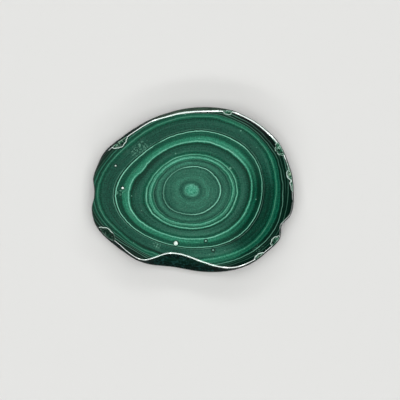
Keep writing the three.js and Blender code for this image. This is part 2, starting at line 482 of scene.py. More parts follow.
# %% Where the stone is broken
CHIPS = [  # angle, reach, half sizes along the rim, towards the eye and down, turn in degrees
    (145.6, 17.63, 1.8, 1.2, 1.0, -18), (65.8, 17.75, 1.0, 1.05, 0.8, 0), (25.0, 19.95, 1.33, 1.22, 1.0, 4),
    (9.0, 20.7, 1.35, 1.3, 0.8, 6), (3.0, 20.75, 1.4, 0.75, 0.6, 0), (15.0, 20.7, 2.6, 0.72, 0.5, 0),
    (329.3, 19.62, 1.15, 0.58, 0.7, -12), (315.7, 19.4, 1.05, 0.85, 0.7, -12),
    (208.3, 19.5, 2.1, 1.5, 1.8, 14),
]
PITS = [  # x, y and radius
    (-3.05, -10.55, 0.4), (-15.12, 4.95, 0.14), (-13.7, 0.5, 0.18),
]
PIT_DEPTH_SHARE = 0.75
CHIP_DISTANCE = "chip_distance"  # attributes for how far each point is from the edge of a chip or a pit
PIT_DISTANCE = "pit_distance"


def scoop_points(name, scoops):
    """Points to cut at: each scoop is (place, half sizes, turn in degrees)."""
    values = {
        "half_in": [half[0] * MM for _, half, _ in scoops],
        "half_along": [half[1] * MM for _, half, _ in scoops],
        "half_down": [half[2] * MM for _, half, _ in scoops],
        "turn": [math.radians(turn) for _, _, turn in scoops],
    }
    places = [Vector((*place, THICKNESS)) * MM for place, _, _ in scoops]
    return line_object(name, places, False, values)


def chip_scoop(angle, reach, along, inward, down, turn):
    """A chip as a scoop, with its place given as an angle and a reach from the eye."""
    place = (reach * math.cos(math.radians(angle)), reach * math.sin(math.radians(angle)))
    return place, (inward, along, down), angle + turn


def pit_scoop(x, y, radius):
    """A pit as a scoop: a round bowl that is a little less deep than its radius."""
    return (x, y), (radius, radius, radius * PIT_DEPTH_SHARE), 0


chips = scoop_points("chips", [chip_scoop(*chip) for chip in CHIPS])
pits = scoop_points("pits", [pit_scoop(*pit) for pit in PITS])
print(len(CHIPS), "chips and", len(PITS), "pits")

# %% [markdown]
# One tree breaks out both. It puts a ball at every point and roughens it by noise: soft swells for
# the shells of the break, and cells for its facets. It cuts the balls out of the stone, and the
# hollows take the finish of the break. It also notes how far each point of the mesh lies from the
# broken edge, because the stone is crushed white there.

# %% The tree that breaks pieces out
def rough_balls(tree, given):
    """A ball at every point, pressed into an egg and roughened."""
    centres = add(tree, "GeometryNodeObjectInfo", {"Object": given["Scoops"]}).outputs["Geometry"]
    points = made(tree, "GeometryNodeMeshToPoints", [centres])
    ball = made(tree, "GeometryNodeMeshIcoSphere", {"Radius": 1.0, "Subdivisions": given["Ball detail"]})
    size = made(tree, "ShaderNodeCombineXYZ",
                [read(tree, name) for name in ("half_in", "half_along", "half_down")])
    turn = made(tree, "ShaderNodeCombineXYZ", {"Z": read(tree, "turn")})
    balls = made(tree, "GeometryNodeInstanceOnPoints", {
        "Points": points, "Instance": ball, "Scale": size,
        "Rotation": made(tree, "FunctionNodeEulerToRotation", [turn])})
    balls = made(tree, "GeometryNodeRealizeInstances", [balls])
    position = made(tree, "GeometryNodeInputPosition")
    shells = swell(tree, position, given["Shells per metre"], 1.0, given["Seed"])
    cells = add(tree, "ShaderNodeTexVoronoi", {"Vector": position, "Scale": given["Facets per metre"]},
                voronoi_dimensions="3D").outputs["Distance"]
    facets = calc(tree, "MULTIPLY", calc(tree, "SUBTRACT", cells, 0.5), given["Facet height"])
    relief = calc(tree, "MULTIPLY_ADD", shells, given["Shell height"], facets)
    push = scaled(tree, made(tree, "GeometryNodeInputNormal"), relief)
    return made(tree, "GeometryNodeSetPosition", {"Geometry": balls, "Offset": push})


def break_tree():
    tree = new_group("Break pieces out", "GeometryNodeTree", {
        "Stone": ("NodeSocketGeometry", None), "Scoops": ("NodeSocketObject", None),
        "Ball detail": ("NodeSocketInt", 4),
        "Shell height": ("NodeSocketFloat", 0.7 * MM), "Shells per metre": ("NodeSocketFloat", 800.0),
        "Facet height": ("NodeSocketFloat", 0.3 * MM), "Facets per metre": ("NodeSocketFloat", 2400.0),
        "Seed": ("NodeSocketFloat", 1.0), "Edge name": ("NodeSocketString", "edge_distance"),
        "Smooth break": ("NodeSocketBool", False), "Break finish": ("NodeSocketMaterial", None),
    }, {"Stone": "NodeSocketGeometry"})
    given = add(tree, "NodeGroupInput").outputs
    balls = made(tree, "GeometryNodeStoreNamedAttribute",
                 {"Geometry": rough_balls(tree, given), "Name": "broken", "Value": 1.0}, domain="FACE")
    cut = add(tree, "GeometryNodeMeshBoolean", {"Mesh 1": given["Stone"], "Mesh 2": balls},
              operation="DIFFERENCE", solver="MANIFOLD")
    stone, edges = cut.outputs
    rims = made(tree, "GeometryNodeSeparateGeometry", [stone, edges], domain="EDGE")
    away = add(tree, "GeometryNodeProximity", {"Geometry": rims}, target_element="EDGES").outputs["Distance"]
    stone = made(tree, "GeometryNodeStoreNamedAttribute",
                 {"Geometry": stone, "Name": given["Edge name"], "Value": away}, domain="POINT")
    stone = made(tree, "GeometryNodeSetShadeSmooth",
                 {"Geometry": stone, "Selection": edges, "Shade Smooth": False}, domain="EDGE")
    broken = compare(tree, read(tree, "broken"), "GREATER_THAN", 0.5)
    stone = made(tree, "GeometryNodeSetShadeSmooth",
                 {"Geometry": stone, "Selection": broken, "Shade Smooth": given["Smooth break"]})
    stone = made(tree, "GeometryNodeSetMaterial",
                 {"Geometry": stone, "Selection": broken, "Material": given["Break finish"]})
    stone = made(tree, "GeometryNodeRemoveAttribute", {"Geometry": stone, "Name": "broken"})
    return close_group(tree, [made(tree, "GeometryNodeRealizeInstances", [stone])])


breaker = break_tree()
add_modifier(slab, breaker, Scoops=chips, Seed=5.0, Edge_name=CHIP_DISTANCE, Break_finish=BROKEN)
add_modifier(slab, breaker, Scoops=pits, Shell_height=0.34 * MM, Shells_per_metre=1900.0,
             Facet_height=0.08 * MM, Facets_per_metre=7000.0, Seed=8.0, Edge_name=PIT_DISTANCE,
             Smooth_break=True, Break_finish=POWDER)
print("break tree has", len(breaker.nodes), "nodes")

# %% [markdown]
# What the modifiers make becomes a plain mesh here, so that everything further on sees the finished
# stone. The helper objects and the attributes that only the trees needed are taken away. One
# attribute stays, because the materials read it: the distance from the edge of a chip.

# %% One plain mesh
def settle(piece):
    """Turns what a piece's modifiers make into its plain mesh, and takes the modifiers off."""
    evaluated = piece.evaluated_get(bpy.context.evaluated_depsgraph_get())
    mesh = bpy.data.meshes.new_from_object(evaluated)
    piece.modifiers.clear()
    piece.data = mesh


settle(slab)
for helper in (section, chips, pits):
    bpy.data.objects.remove(helper)
for name in [a.name for a in slab.data.attributes if a.domain == "POINT" and a.data_type == "FLOAT"]:
    if name != CHIP_DISTANCE:
        slab.data.attributes.remove(slab.data.attributes[name])
print("slab mesh:", len(slab.data.vertices), "points,", len(slab.data.polygons), "faces")

# %% [markdown]
# Shader trees need a few more helpers: screen colours as numbers, colour ramps, mixes, and noise that
# is laid out round the rings, because nearly everything in a stone that grew in coats runs either
# round them or straight out through them.

# %% Helpers for colour and for rings
def paint(red, green, blue):
    """A screen colour, 0 to 255 a channel, as the linear colour that Blender's sockets hold."""
    shares = [channel / 255 for channel in (red, green, blue)]
    return (*[s / 12.92 if s <= 0.04045 else ((s + 0.055) / 1.055) ** 2.4 for s in shares], 1.0)


def mix_value(tree, factor, first, second):
    """A number between two others."""
    return made(tree, "ShaderNodeMix", {0: factor, 2: first, 3: second}, data_type="FLOAT")


def mix_color(tree, factor, first, second):
    """A colour between two others."""
    return add(tree, "ShaderNodeMix", {0: factor, 6: first, 7: second}, data_type="RGBA").outputs[2]


def lay_over(tree, color, mask, share, over):
    """Lays a colour over another one where the mask is, with a share of its full strength."""
    return mix_color(tree, calc(tree, "MULTIPLY", mask, share), color, over)


def ramp(tree, factor, stops):
    """A colour ramp with (position, colour) stops."""
    node = add(tree, "ShaderNodeValToRGB", [factor])
    elements = node.color_ramp.elements
    elements.remove(elements[1])
    elements[0].position, elements[0].color = stops[0]
    for position, color in stops[1:]:
        elements.new(position).color = color
    return node.outputs["Color"]


def distance_from(tree, value, centre):
    """How far a number is from another one, on either side of it."""
    return calc(tree, "ABSOLUTE", calc(tree, "SUBTRACT", value, centre))


def both_ways(tree, value):
    """Turns a number from 0 to 1 into one from -1 to 1."""
    return calc(tree, "MULTIPLY_ADD", value, 2.0, -1.0)


def ring_noise(tree, growth, round_way, around, outward, detail, seed):
    """Noise from -1 to 1 with its own pace round the rings and outwards, in lumps per mm."""
    place = scaled(tree, round_way, around)
    out = made(tree, "ShaderNodeCombineXYZ", {"Z": calc(tree, "MULTIPLY", growth, outward)})
    return both_ways(tree, noise(tree, vector_calc(tree, "ADD", place, out), 1.0, detail, seed))


print("half grey on a screen is", round(paint(128, 128, 128)[0], 3), "in a shader")

# %% [markdown]
# No coat is the same all the way round. Such a place is described by a patch: full at a growth and a
# direction, and gone a little way off. The same small group serves for places where the coats bend
# and for places where they are darker or lighter.

# %% Patches of the rings
def patch_group():
    tree = new_group("Ring patch", "ShaderNodeTree", {
        "Growth": ("NodeSocketFloat", 0.0), "Round": ("NodeSocketVector", None),
        "Direction": ("NodeSocketVector", None), "Edge cosine": ("NodeSocketFloat", 0.9),
        "Centre": ("NodeSocketFloat", 1.0), "Half width": ("NodeSocketFloat", 1.0),
        "Amount": ("NodeSocketFloat", 1.0),
    }, {"Amount": "NodeSocketFloat"})
    given = add(tree, "NodeGroupInput").outputs
    facing = vector_value(tree, "DOT_PRODUCT", given["Round"], given["Direction"])
    near = ease(tree, facing, given["Edge cosine"], 1.0)
    off = distance_from(tree, given["Growth"], given["Centre"])
    inside = ease(tree, off, 0.0, given["Half width"], 1.0, 0.0)
    full = calc(tree, "MULTIPLY", calc(tree, "MULTIPLY", near, inside), given["Amount"])
    return close_group(tree, [full])


ring_patch = patch_group()


def add_patches(tree, growth, round_way, patches, start):
    """Adds up patches: each is growth, half width, direction in degrees, degrees to its edge, amount."""
    total = start
    for centre, half_width, degrees, spread, amount in patches:
        angle = math.radians(degrees)
        share = use(tree, ring_patch, {
            "Growth": growth, "Round": round_way, "Direction": (math.cos(angle), math.sin(angle), 0),
            "Edge cosine": math.cos(math.radians(spread)), "Centre": centre, "Half width": half_width,
            "Amount": amount})["Amount"]
        total = calc(tree, "ADD", total, share)
    return total


print("patch group has", len(ring_patch.nodes), "nodes")

# %% [markdown]
# Malachite grows in thin coats round a centre, so its pattern is one number: how far out, in
# millimetres, a point was laid down. The coats aren't circles. Each is a circle with a few soft
# lobes, and the lobes change a little on the way out. Here and there a coat has a kink, and all of
# them waver. The group below turns Object coordinates into that number. Both cut faces, the wall
# and the chips read it, so that the bands run through the stone.

# %% The growth of the coats
COAT_SHAPES = [  # reach in mm, then each lobe's (share that it stands out, phase in degrees)
    (1.2, [(0.07, 40), (0.09, 5)]),
    (2.0, [(0.01, 50), (0.08, 0)]),
    (6.0, [(0.048, -51), (0.097, 16), (0.016, -73), (0.006, 66), (0.005, -45)]),
    (12.0, [(0.018, -14), (0.123, 15), (0.035, -137), (0.020, 53), (0.005, -137), (0.007, 76)]),
    (16.8, [(0.023, 103), (0.100, 7), (0.029, -172), (0.014, 16), (0.025, -151), (0.006, 62)]),
]
KINKS = [  # growth, half width, direction, degrees to its edge, how much further in the coats lie
    (5.2, 1.0, 72, 44, -0.14), (5.2, 1.0, 140, 45, -0.12), (8.3, 0.8, 268, 95, -0.14),
    (8.2, 0.8, 45, 70, 0.04), (5.2, 1.0, 335, 42, 0.08), (8.3, 0.8, 338, 34, -0.08),
    (10.6, 1.3, 156, 7, 0.2), (10.6, 1.2, 170, 9, -0.1), (12.9, 1.0, 150, 20, -0.02),
    (13.0, 0.7, 15, 40, -0.04), (16.9, 2.2, 45, 26, 0.5), (16.2, 1.2, 85, 22, -0.22),
    (16.3, 1.4, 225, 14, -0.3), (17.6, 0.9, 318, 66, -0.34), (15.9, 0.9, 20, 34, -0.12),
]
WAVERS = [  # input that says how much, lumps per mm round the ring and outwards, seed
    ("Wobble", 2.5, 0.3, 1.0), ("Ripple", 10.0, 0.7, 2.0), ("Feather", 32.0, 1.2, 3.0),
]
CALM_GROWTH = 0.5  # the coats begin to waver here, and waver in full from the next one on
WAVERING_GROWTH = 5.0


def coat_shape(tree, angle, lobes):
    """How far a coat stands out at an angle, over its mean reach."""
    shape = 1.0
    for count, (share, phase) in enumerate(lobes, start=1):
        wave = calc(tree, "COSINE", calc(tree, "MULTIPLY_ADD", angle, float(count), -math.radians(phase)))
        shape = calc(tree, "MULTIPLY_ADD", wave, share, shape)
    return shape


def shape_between(tree, reach, angle):
    """The shape of any coat, mixed from the listed ones on either side of it."""
    inner, lobes = COAT_SHAPES[0]
    shape = coat_shape(tree, angle, lobes)
    for outer, lobes in COAT_SHAPES[1:]:
        along = made(tree, "ShaderNodeMapRange", [reach, inner, outer])
        shape = mix_value(tree, along, shape, coat_shape(tree, angle, lobes))
        inner = outer
    return shape


def growth_group():
    tree = new_group("Growth of the coats", "ShaderNodeTree", {
        "Vector": ("NodeSocketVector", None),
        "Lean X": ("NodeSocketFloat", 0.06), "Lean Y": ("NodeSocketFloat", -0.04),
        "Wobble": ("NodeSocketFloat", 0.12), "Ripple": ("NodeSocketFloat", 0.1),
        "Feather": ("NodeSocketFloat", 0.05),
    }, {"Growth": "NodeSocketFloat", "Round": "NodeSocketVector", "Place": "NodeSocketVector"})
    given = add(tree, "NodeGroupInput").outputs
    place = scaled(tree, given["Vector"], 1 / MM)
    x, y, z = add(tree, "ShaderNodeSeparateXYZ", [place]).outputs
    depth = calc(tree, "SUBTRACT", THICKNESS, z)
    x = calc(tree, "MULTIPLY_ADD", depth, given["Lean X"], x)
    y = calc(tree, "MULTIPLY_ADD", depth, given["Lean Y"], y)
    flat = made(tree, "ShaderNodeCombineXYZ", {"X": x, "Y": y})
    reach = vector_value(tree, "LENGTH", flat)
    round_way = vector_calc(tree, "NORMALIZE", flat)
    angle = calc(tree, "ARCTAN2", y, x)
    smooth = calc(tree, "DIVIDE", reach, shape_between(tree, reach, angle))
    growth = add_patches(tree, smooth, round_way, KINKS, smooth)
    growing = ease(tree, smooth, CALM_GROWTH, WAVERING_GROWTH)
    for name, around, outward, seed in WAVERS:
        wander = ring_noise(tree, smooth, round_way, around, outward, 1.0, seed)
        growth = calc(tree, "MULTIPLY_ADD", calc(tree, "MULTIPLY", wander, given[name]), growing, growth)
    return close_group(tree, [growth, round_way, place])


growth_of_coats = growth_group()
print("growth group has", len(growth_of_coats.nodes), "nodes")

# %% [markdown]
# The coats differ in how dark they are, from near black to pale mint. A list gives each band's tone
# at the growth where it lies, and two colour ramps read it, because one ramp is too coarse for lines
# a fifth of a millimetre wide. Patches make a band deeper or paler over a part of its way round.
# The patches that deepen the coats towards the lower right, at about 338 degrees, are partly the
# stone's own tone and partly a painted dark reflection on the face.
# Last, the tone becomes a green, and some bands are of a purer green than others.

# %% Tones and greens
TONES = [  # growth in mm, tone from 0 for black to 1 for white
    # the eye, its bright heart and its dark halo
    (0.0, 0.53), (0.24, 0.585), (0.44, 0.61), (0.66, 0.575), (0.86, 0.56), (1.06, 0.58), (1.3, 0.5),
    (1.54, 0.38), (1.76, 0.315), (2.04, 0.34), (2.4, 0.41), (2.8, 0.44), (3.3, 0.42), (3.7, 0.4),
    (4.1, 0.4), (4.6, 0.38), (4.88, 0.31), (5.18, 0.42), (5.4, 0.28), (6.0, 0.425), (6.36, 0.41),
    # the double ring
    (6.78, 0.29), (6.98, 0.315), (7.2, 0.45), (7.4, 0.6), (7.58, 0.53), (7.82, 0.35), (8.0, 0.46),
    (8.16, 0.52), (8.5, 0.28), (8.9, 0.35), (10.0, 0.29),
    # the broad bright ring, sharp inside and fading outwards
    (10.44, 0.2), (10.62, 0.38), (10.82, 0.68), (10.96, 0.6), (11.18, 0.45), (11.44, 0.49), (11.7, 0.46),
    (11.86, 0.39), (12.04, 0.305), (12.4, 0.275), (12.62, 0.3), (12.8, 0.34), (13.06, 0.34), (13.22, 0.21),
    # the wide dark band, and the strands outside it
    (13.5, 0.3), (14.4, 0.3), (14.9, 0.32), (15.24, 0.3), (15.52, 0.25), (15.8, 0.37), (16.04, 0.41),
    (16.4, 0.29), (16.7, 0.345), (17.0, 0.18), (17.3, 0.14),
    # the black outer coats
    (17.8, 0.11), (18.3, 0.12), (19.0, 0.08), (20.0, 0.08),
]
RAMP_SPLIT = 10.0
SHADES = [  # growth, half width, direction, degrees to its edge, change of tone
    # the eye, the foot of the bright ring, and the first fine line
    (0.75, 0.4, 60, 75, 0.07), (0.25, 0.25, 275, 70, 0.07), (0.8, 0.4, 285, 70, -0.06),
    (4.0, 1.6, 200, 34, -0.05), (0.22, 0.22, 92, 70, -0.05), (0.85, 0.35, 160, 80, -0.05),
    (1.2, 0.3, 92, 56, 0.06), (1.2, 0.3, 300, 60, 0.06), (10.45, 0.25, 268, 60, 0.04),
    (4.5, 0.7, 67, 30, 0.04), (5.2, 0.3, 350, 56, 0.15), (5.2, 0.3, 85, 26, 0.12),
    (5.2, 0.4, 225, 50, -0.05),
    # round the double ring
    (6.3, 0.6, 112, 32, 0.075), (6.4, 0.5, 160, 26, 0.05), (6.5, 0.5, 200, 34, -0.05),
    (6.5, 0.5, 15, 34, -0.04), (7.5, 0.6, 108, 30, 0.09), (7.4, 0.6, 65, 22, 0.04),
    (7.5, 0.7, 350, 56, -0.08), (8.2, 0.5, 265, 60, 0.06), (9.9, 1.1, 268, 62, 0.12),
    (9.9, 0.7, 155, 30, -0.07), (9.3, 0.8, 345, 34, 0.03), (8.6, 0.4, 270, 90, -0.07),
    # the bright ring, and a few places inside and outside it
    # the patches at 338 degrees below are partly the stone's own tone and partly a painted dark reflection
    (11.5, 0.8, 85, 60, 0.045), (11.3, 0.7, 338, 46, -0.15), (11.2, 1.0, 8, 26, -0.09),
    (12.2, 1.0, 338, 44, -0.1), (6.8, 0.4, 67, 32, -0.04), (5.5, 0.4, 110, 40, 0.04),
    (14.6, 1.5, 160, 76, -0.03), (12.5, 0.7, 75, 60, 0.05), (12.3, 0.9, 15, 34, -0.05),
    (12.3, 0.9, 205, 30, -0.06), (12.2, 0.8, 255, 34, 0.05),
    # the outer bands
    # the patches at 338 degrees here are partly the stone's own tone and partly a painted dark reflection
    (13.4, 0.6, 338, 46, -0.17), (14.6, 1.6, 338, 46, -0.1), (14.5, 1.6, 288, 30, 0.08),
    (16.1, 1.5, 294, 24, 0.1), (17.4, 1.0, 293, 24, 0.08), (15.0, 0.8, 17, 16, 0.05),
    (16.2, 0.6, 40, 60, 0.07), (16.3, 0.6, 185, 50, -0.06), (15.4, 0.5, 250, 50, -0.09),
    (16.8, 0.6, 20, 34, -0.06), (17.1, 0.6, 338, 44, -0.07), (17.9, 1.4, 42, 24, -0.06),
    (15.75, 0.4, 292, 24, 0.06), (16.4, 0.4, 150, 60, -0.05), (16.4, 0.4, 67, 26, 0.04),
    (16.7, 0.35, 78, 18, -0.22),
]
GREENS = [  # tone, red, green, blue as on a screen
    (0.06, 0, 16, 13), (0.16, 4, 40, 30), (0.22, 9, 56, 41), (0.27, 18, 69, 54), (0.33, 29, 85, 68),
    (0.4, 45, 102, 82), (0.48, 54, 120, 97), (0.54, 64, 136, 111), (0.6, 79, 152, 128),
    (0.68, 98, 174, 148), (0.8, 132, 206, 178),
]
EMERALDS = [  # the purer green of some bands
    (0.06, 0, 15, 11), (0.16, 0, 42, 28), (0.2, 0, 50, 34), (0.26, 1, 65, 47), (0.33, 9, 83, 62),
    (0.38, 22, 95, 70), (0.44, 33, 110, 83), (0.5, 42, 126, 97), (0.56, 54, 141, 111), (0.62, 73, 158, 130),
    (0.7, 97, 180, 151),
]
EMERALD_BANDS = [(-1.0, 0.95), (6.8, 8.8), (10.1, 13.35), (15.3, 25.0)]  # from and to, in mm of growth
EMERALD_EDGE = 0.2
print(len(TONES), "tones,", len(SHADES), "shades and", len(GREENS) + len(EMERALDS), "greens")

# %% [markdown]
# Tones alone would look printed. Noise that is stretched round the rings adds a slow change and fine
# striping, noise stretched along the radius adds the silky fibres, and a plain one the grain. Small
# clouds in the stone are a little greyer than what lies round them.

# %% The coats
TONE_CHANGES = [  # input that says how much, lumps per mm round the ring and outwards, detail, seed
    ("Slow change", 1.3, 0.35, 1.0, 1.0), ("Stripes", 0.9, 3.5, 2.0, 2.0),
    ("Fine stripes", 1.6, 13.0, 2.0, 3.0), ("Fibres", 44.0, 1.1, 4.0, 4.0),
]


def tone_ramp(tree, growth, start, end):
    """Reads the tones from start to end in mm of growth."""
    stops = [((g - start) / (end - start), (tone, tone, tone, 1)) for g, tone in TONES if start <= g <= end]
    along = calc(tree, "DIVIDE", calc(tree, "SUBTRACT", growth, start), end - start)
    return ramp(tree, along, stops)


def tone_of_coats(tree, given):
    """The tone at any growth and direction, with its patches and its noise."""
    growth, round_way = given["Growth"], given["Round"]
    inner = tone_ramp(tree, growth, 0.0, RAMP_SPLIT)
    outer = tone_ramp(tree, growth, RAMP_SPLIT, TONES[-1][0])
    tone = mix_value(tree, calc(tree, "GREATER_THAN", growth, RAMP_SPLIT), inner, outer)
    tone = add_patches(tree, growth, round_way, SHADES, tone)
    grain = both_ways(tree, noise(tree, given["Place"], 4.0, 2.0, 16.0))
    change = calc(tree, "MULTIPLY_ADD", grain, given["Grain"], 1.0)
    for name, around, outward, detail, seed in TONE_CHANGES:
        value = ring_noise(tree, growth, round_way, around, outward, detail, seed)
        change = calc(tree, "MULTIPLY_ADD", value, given[name], change)
    return calc(tree, "MULTIPLY", tone, change)


def emerald_share(tree, growth):
    """1 in the bands of the purer green, and 0 between them."""
    share = 0.0
    for start, end in EMERALD_BANDS:
        begun = ease(tree, growth, start - EMERALD_EDGE, start + EMERALD_EDGE)
        not_ended = ease(tree, growth, end - EMERALD_EDGE, end + EMERALD_EDGE, 1.0, 0.0)
        share = calc(tree, "ADD", calc(tree, "MULTIPLY", begun, not_ended), share)
    return share


def palette_ramp(tree, tone, palette):
    """Turns a tone into a colour of a palette."""
    return ramp(tree, tone, [(position, paint(*color)) for position, *color in palette])


def coats_group():
    tree = new_group("Coats of malachite", "ShaderNodeTree", {
        "Growth": ("NodeSocketFloat", 0.0), "Round": ("NodeSocketVector", None),
        "Place": ("NodeSocketVector", None),
        "Slow change": ("NodeSocketFloat", 0.08), "Stripes": ("NodeSocketFloat", 0.2),
        "Fine stripes": ("NodeSocketFloat", 0.38), "Fibres": ("NodeSocketFloat", 0.17),
        "Grain": ("NodeSocketFloat", 0.5), "Greyness": ("NodeSocketFloat", 0.14),
    }, {"Color": "NodeSocketColor", "Tone": "NodeSocketFloat"})
    given = add(tree, "NodeGroupInput").outputs
    tone = tone_of_coats(tree, given)
    purity = emerald_share(tree, given["Growth"])
    common = palette_ramp(tree, tone, GREENS)
    pure = palette_ramp(tree, tone, EMERALDS)
    green = mix_color(tree, purity, common, pure)
    clouds = ease(tree, ring_noise(tree, given["Growth"], given["Round"], 9.0, 2.0, 4.0, 18.0), 0.0, 0.5)
    grey = made(tree, "ShaderNodeRGBToBW", [green])
    return close_group(tree, [lay_over(tree, green, clouds, given["Greyness"], grey), tone])


coats_of_malachite = coats_group()
print("coats group has", len(coats_of_malachite.nodes), "nodes")

# %% [markdown]
# A few coats are so thin that they show as pale lines, each between two darker ones. Each is the same
# small group with its own place and width: it is full on its line, falls off over its half width, and
# breaks up along the ring by as much as its patchiness says. The lines are gathered into two masks,
# one for the pale lines and one for the dark beside them, so that each colour is mixed in once.

# %% Fine lines
FINE_LINES = [  # growth, half width, strength, patchiness
    (5.2, 0.12, 1.0, 0.5), (6.94, 0.08, 0.28, 0.9), (7.4, 0.11, 0.55, 0.9), (7.66, 0.08, 0.28, 0.9),
    (8.1, 0.13, 0.9, 0.8), (10.82, 0.12, 0.65, 0.8), (12.94, 0.115, 1.0, 0.35), (13.36, 0.09, 0.3, 0.9),
    (15.95, 0.1, 0.3, 0.8), (16.66, 0.09, 0.3, 0.7), (17.15, 0.1, 0.32, 0.5), (17.64, 0.1, 0.45, 0.5),
    (18.3, 0.1, 0.36, 0.6),
]
LINE_CHANGES = [  # growth, half width, direction, degrees to its edge, change of strength
    (5.2, 0.6, 150, 60, -0.5), (5.2, 0.6, 225, 60, -0.55), (8.1, 0.5, 45, 70, -0.45),
    (8.1, 0.5, 155, 40, -0.4), (12.94, 0.5, 15, 30, -0.25), (12.94, 0.5, 250, 30, -0.2),
    (10.82, 0.5, 355, 55, -0.6), (5.2, 0.6, 67, 40, 0.35), (17.64, 0.5, 20, 50, -0.7),
    (17.6, 1.4, 165, 60, -0.9), (16.75, 0.5, 18, 44, -0.9), (16.66, 0.3, 320, 50, -0.9),
    (17.15, 0.2, 320, 50, 0.5), (17.64, 0.25, 320, 50, -0.9), (18.3, 0.4, 320, 50, -0.6),
    (18.3, 0.5, 222, 24, -0.9), (12.94, 0.5, 127, 5, -0.7), (13.4, 0.3, 182, 34, 0.9),
    (12.94, 0.5, 338, 40, -0.18), (10.82, 0.5, 303, 18, 0.6),
]
PALE_LINE = paint(144, 216, 188)
LINE_OUTLINE = paint(0, 42, 30)
OUTLINE_STRENGTH = 0.6


def fine_line_group():
    tree = new_group("Fine line", "ShaderNodeTree", {
        "Growth": ("NodeSocketFloat", 0.0), "Round": ("NodeSocketVector", None),
        "Place": ("NodeSocketFloat", 1.0), "Half width": ("NodeSocketFloat", 0.1),
        "Patchiness": ("NodeSocketFloat", 0.5),
    }, {"Mask": "NodeSocketFloat", "Outline": "NodeSocketFloat"})
    given = add(tree, "NodeGroupInput").outputs
    off = distance_from(tree, given["Growth"], given["Place"])
    widths_off = calc(tree, "DIVIDE", off, given["Half width"])
    line = ease(tree, widths_off, 0.15, 1.0, 1.0, 0.0)
    past_line = ease(tree, widths_off, 0.7, 1.4)
    outline = calc(tree, "MULTIPLY", past_line, ease(tree, widths_off, 1.4, 2.6, 1.0, 0.0))
    broken = ring_noise(tree, given["Place"], given["Round"], 5.0, 7.0, 3.0, 5.0)
    lost = calc(tree, "MULTIPLY", ease(tree, broken, -0.5, 0.6), given["Patchiness"])
    left = calc(tree, "SUBTRACT", 1.0, lost)
    return close_group(tree, [calc(tree, "MULTIPLY", line, left), calc(tree, "MULTIPLY", outline, left)])


fine_line = fine_line_group()


def gather_lines(tree, growth, round_way):
    """All the fine lines as two masks: the pale lines, and the dark edges beside them."""
    pale, dark = 0.0, 0.0
    for line, half_width, full, patchiness in FINE_LINES:
        masks = use(tree, fine_line, {"Growth": growth, "Round": round_way, "Place": line,
                                      "Half width": half_width, "Patchiness": patchiness})
        pale = calc(tree, "MAXIMUM", pale, calc(tree, "MULTIPLY", masks["Mask"], full))
        dark = calc(tree, "MAXIMUM", dark, calc(tree, "MULTIPLY", masks["Outline"], full))
    return pale, dark


print(len(FINE_LINES), "fine lines, changed in", len(LINE_CHANGES), "places")

# %% [markdown]
# Four of the finishes show the same stone, so its whole colour is one group: growth, coats and fine
# lines together. Every material places it, and then says what its own surface does to that colour.

# %% The stone
def stone_group():
    tree = new_group("Malachite stone", "ShaderNodeTree", {
        "Vector": ("NodeSocketVector", None), "Line strength": ("NodeSocketFloat", 1.0),
    }, {"Color": "NodeSocketColor", "Tone": "NodeSocketFloat", "Growth": "NodeSocketFloat",
        "Round": "NodeSocketVector", "Place": "NodeSocketVector"})
    given = add(tree, "NodeGroupInput").outputs
    grown = use(tree, growth_of_coats, {"Vector": given["Vector"]})
    growth, round_way, place = grown["Growth"], grown["Round"], grown["Place"]
    coats = use(tree, coats_of_malachite, {"Growth": growth, "Round": round_way, "Place": place})
    strength = add_patches(tree, growth, round_way, LINE_CHANGES, given["Line strength"])
    pale, dark = gather_lines(tree, growth, round_way)
    dark = calc(tree, "MULTIPLY", dark, OUTLINE_STRENGTH)
    color = lay_over(tree, coats["Color"], dark, strength, LINE_OUTLINE)
    color = lay_over(tree, color, pale, strength, PALE_LINE)
    return close_group(tree, [color, coats["Tone"], growth, round_way, place])


malachite_stone = stone_group()


def stone_patches(tree, stone, patches):
    """Patches at their places in the stone, as one mask."""
    return add_patches(tree, stone["Growth"], stone["Round"], patches, 0.0)


print("stone group has", len(malachite_stone.nodes), "nodes")

# %% [markdown]
# Every finish starts from the same bare Principled shader, and most end with a bump that is far too
# fine to be in the mesh. What mirrors is set by the refractive index: 1.78 for polished malachite.
# A dull surface scatters most of what it would mirror, and a lower index stands for that.

# %% Helpers for finishes
MALACHITE_IOR = 1.78


def dress(material, roughness, ior):
    """An empty Principled material, with its Object coordinates ready to read. The roughness is the
    usual one; a finish may vary it afterwards."""
    material.use_nodes = True
    tree = material.node_tree
    tree.nodes.clear()
    shader = add(tree, "ShaderNodeBsdfPrincipled", {"Roughness": roughness, "IOR": ior})
    add(tree, "ShaderNodeOutputMaterial", {"Surface": shader.outputs[0]})
    return tree, shader, add(tree, "ShaderNodeTexCoord").outputs["Object"]


def bump(tree, shader, height, distance):
    """Raises the surface by a height from 0 to 1 over a distance in mm."""
    normal = made(tree, "ShaderNodeBump", {"Strength": 1.0, "Distance": distance * MM, "Height": height})
    tree.links.new(normal, shader.inputs["Normal"])


def height_of(tree, place):
    """The height over the back in mm."""
    return add(tree, "ShaderNodeSeparateXYZ", [place]).outputs[2]


def read_attribute(tree, name):
    """A number that the mesh carries, for a material to read."""
    return add(tree, "ShaderNodeAttribute", attribute_name=name).outputs["Fac"]


print("bare malachite mirrors", round(((MALACHITE_IOR - 1) / (MALACHITE_IOR + 1)) ** 2, 3), "of the light")

# %% [markdown]
# Where a chip has jumped off, the stone along the broken edge is crushed, and the crushed grains
# scatter light, so the edge shows as a ragged pale line on both sides of the break. The mesh carries
# the distance from the edge, and this group turns it into that line. Old breaks have darkened again.

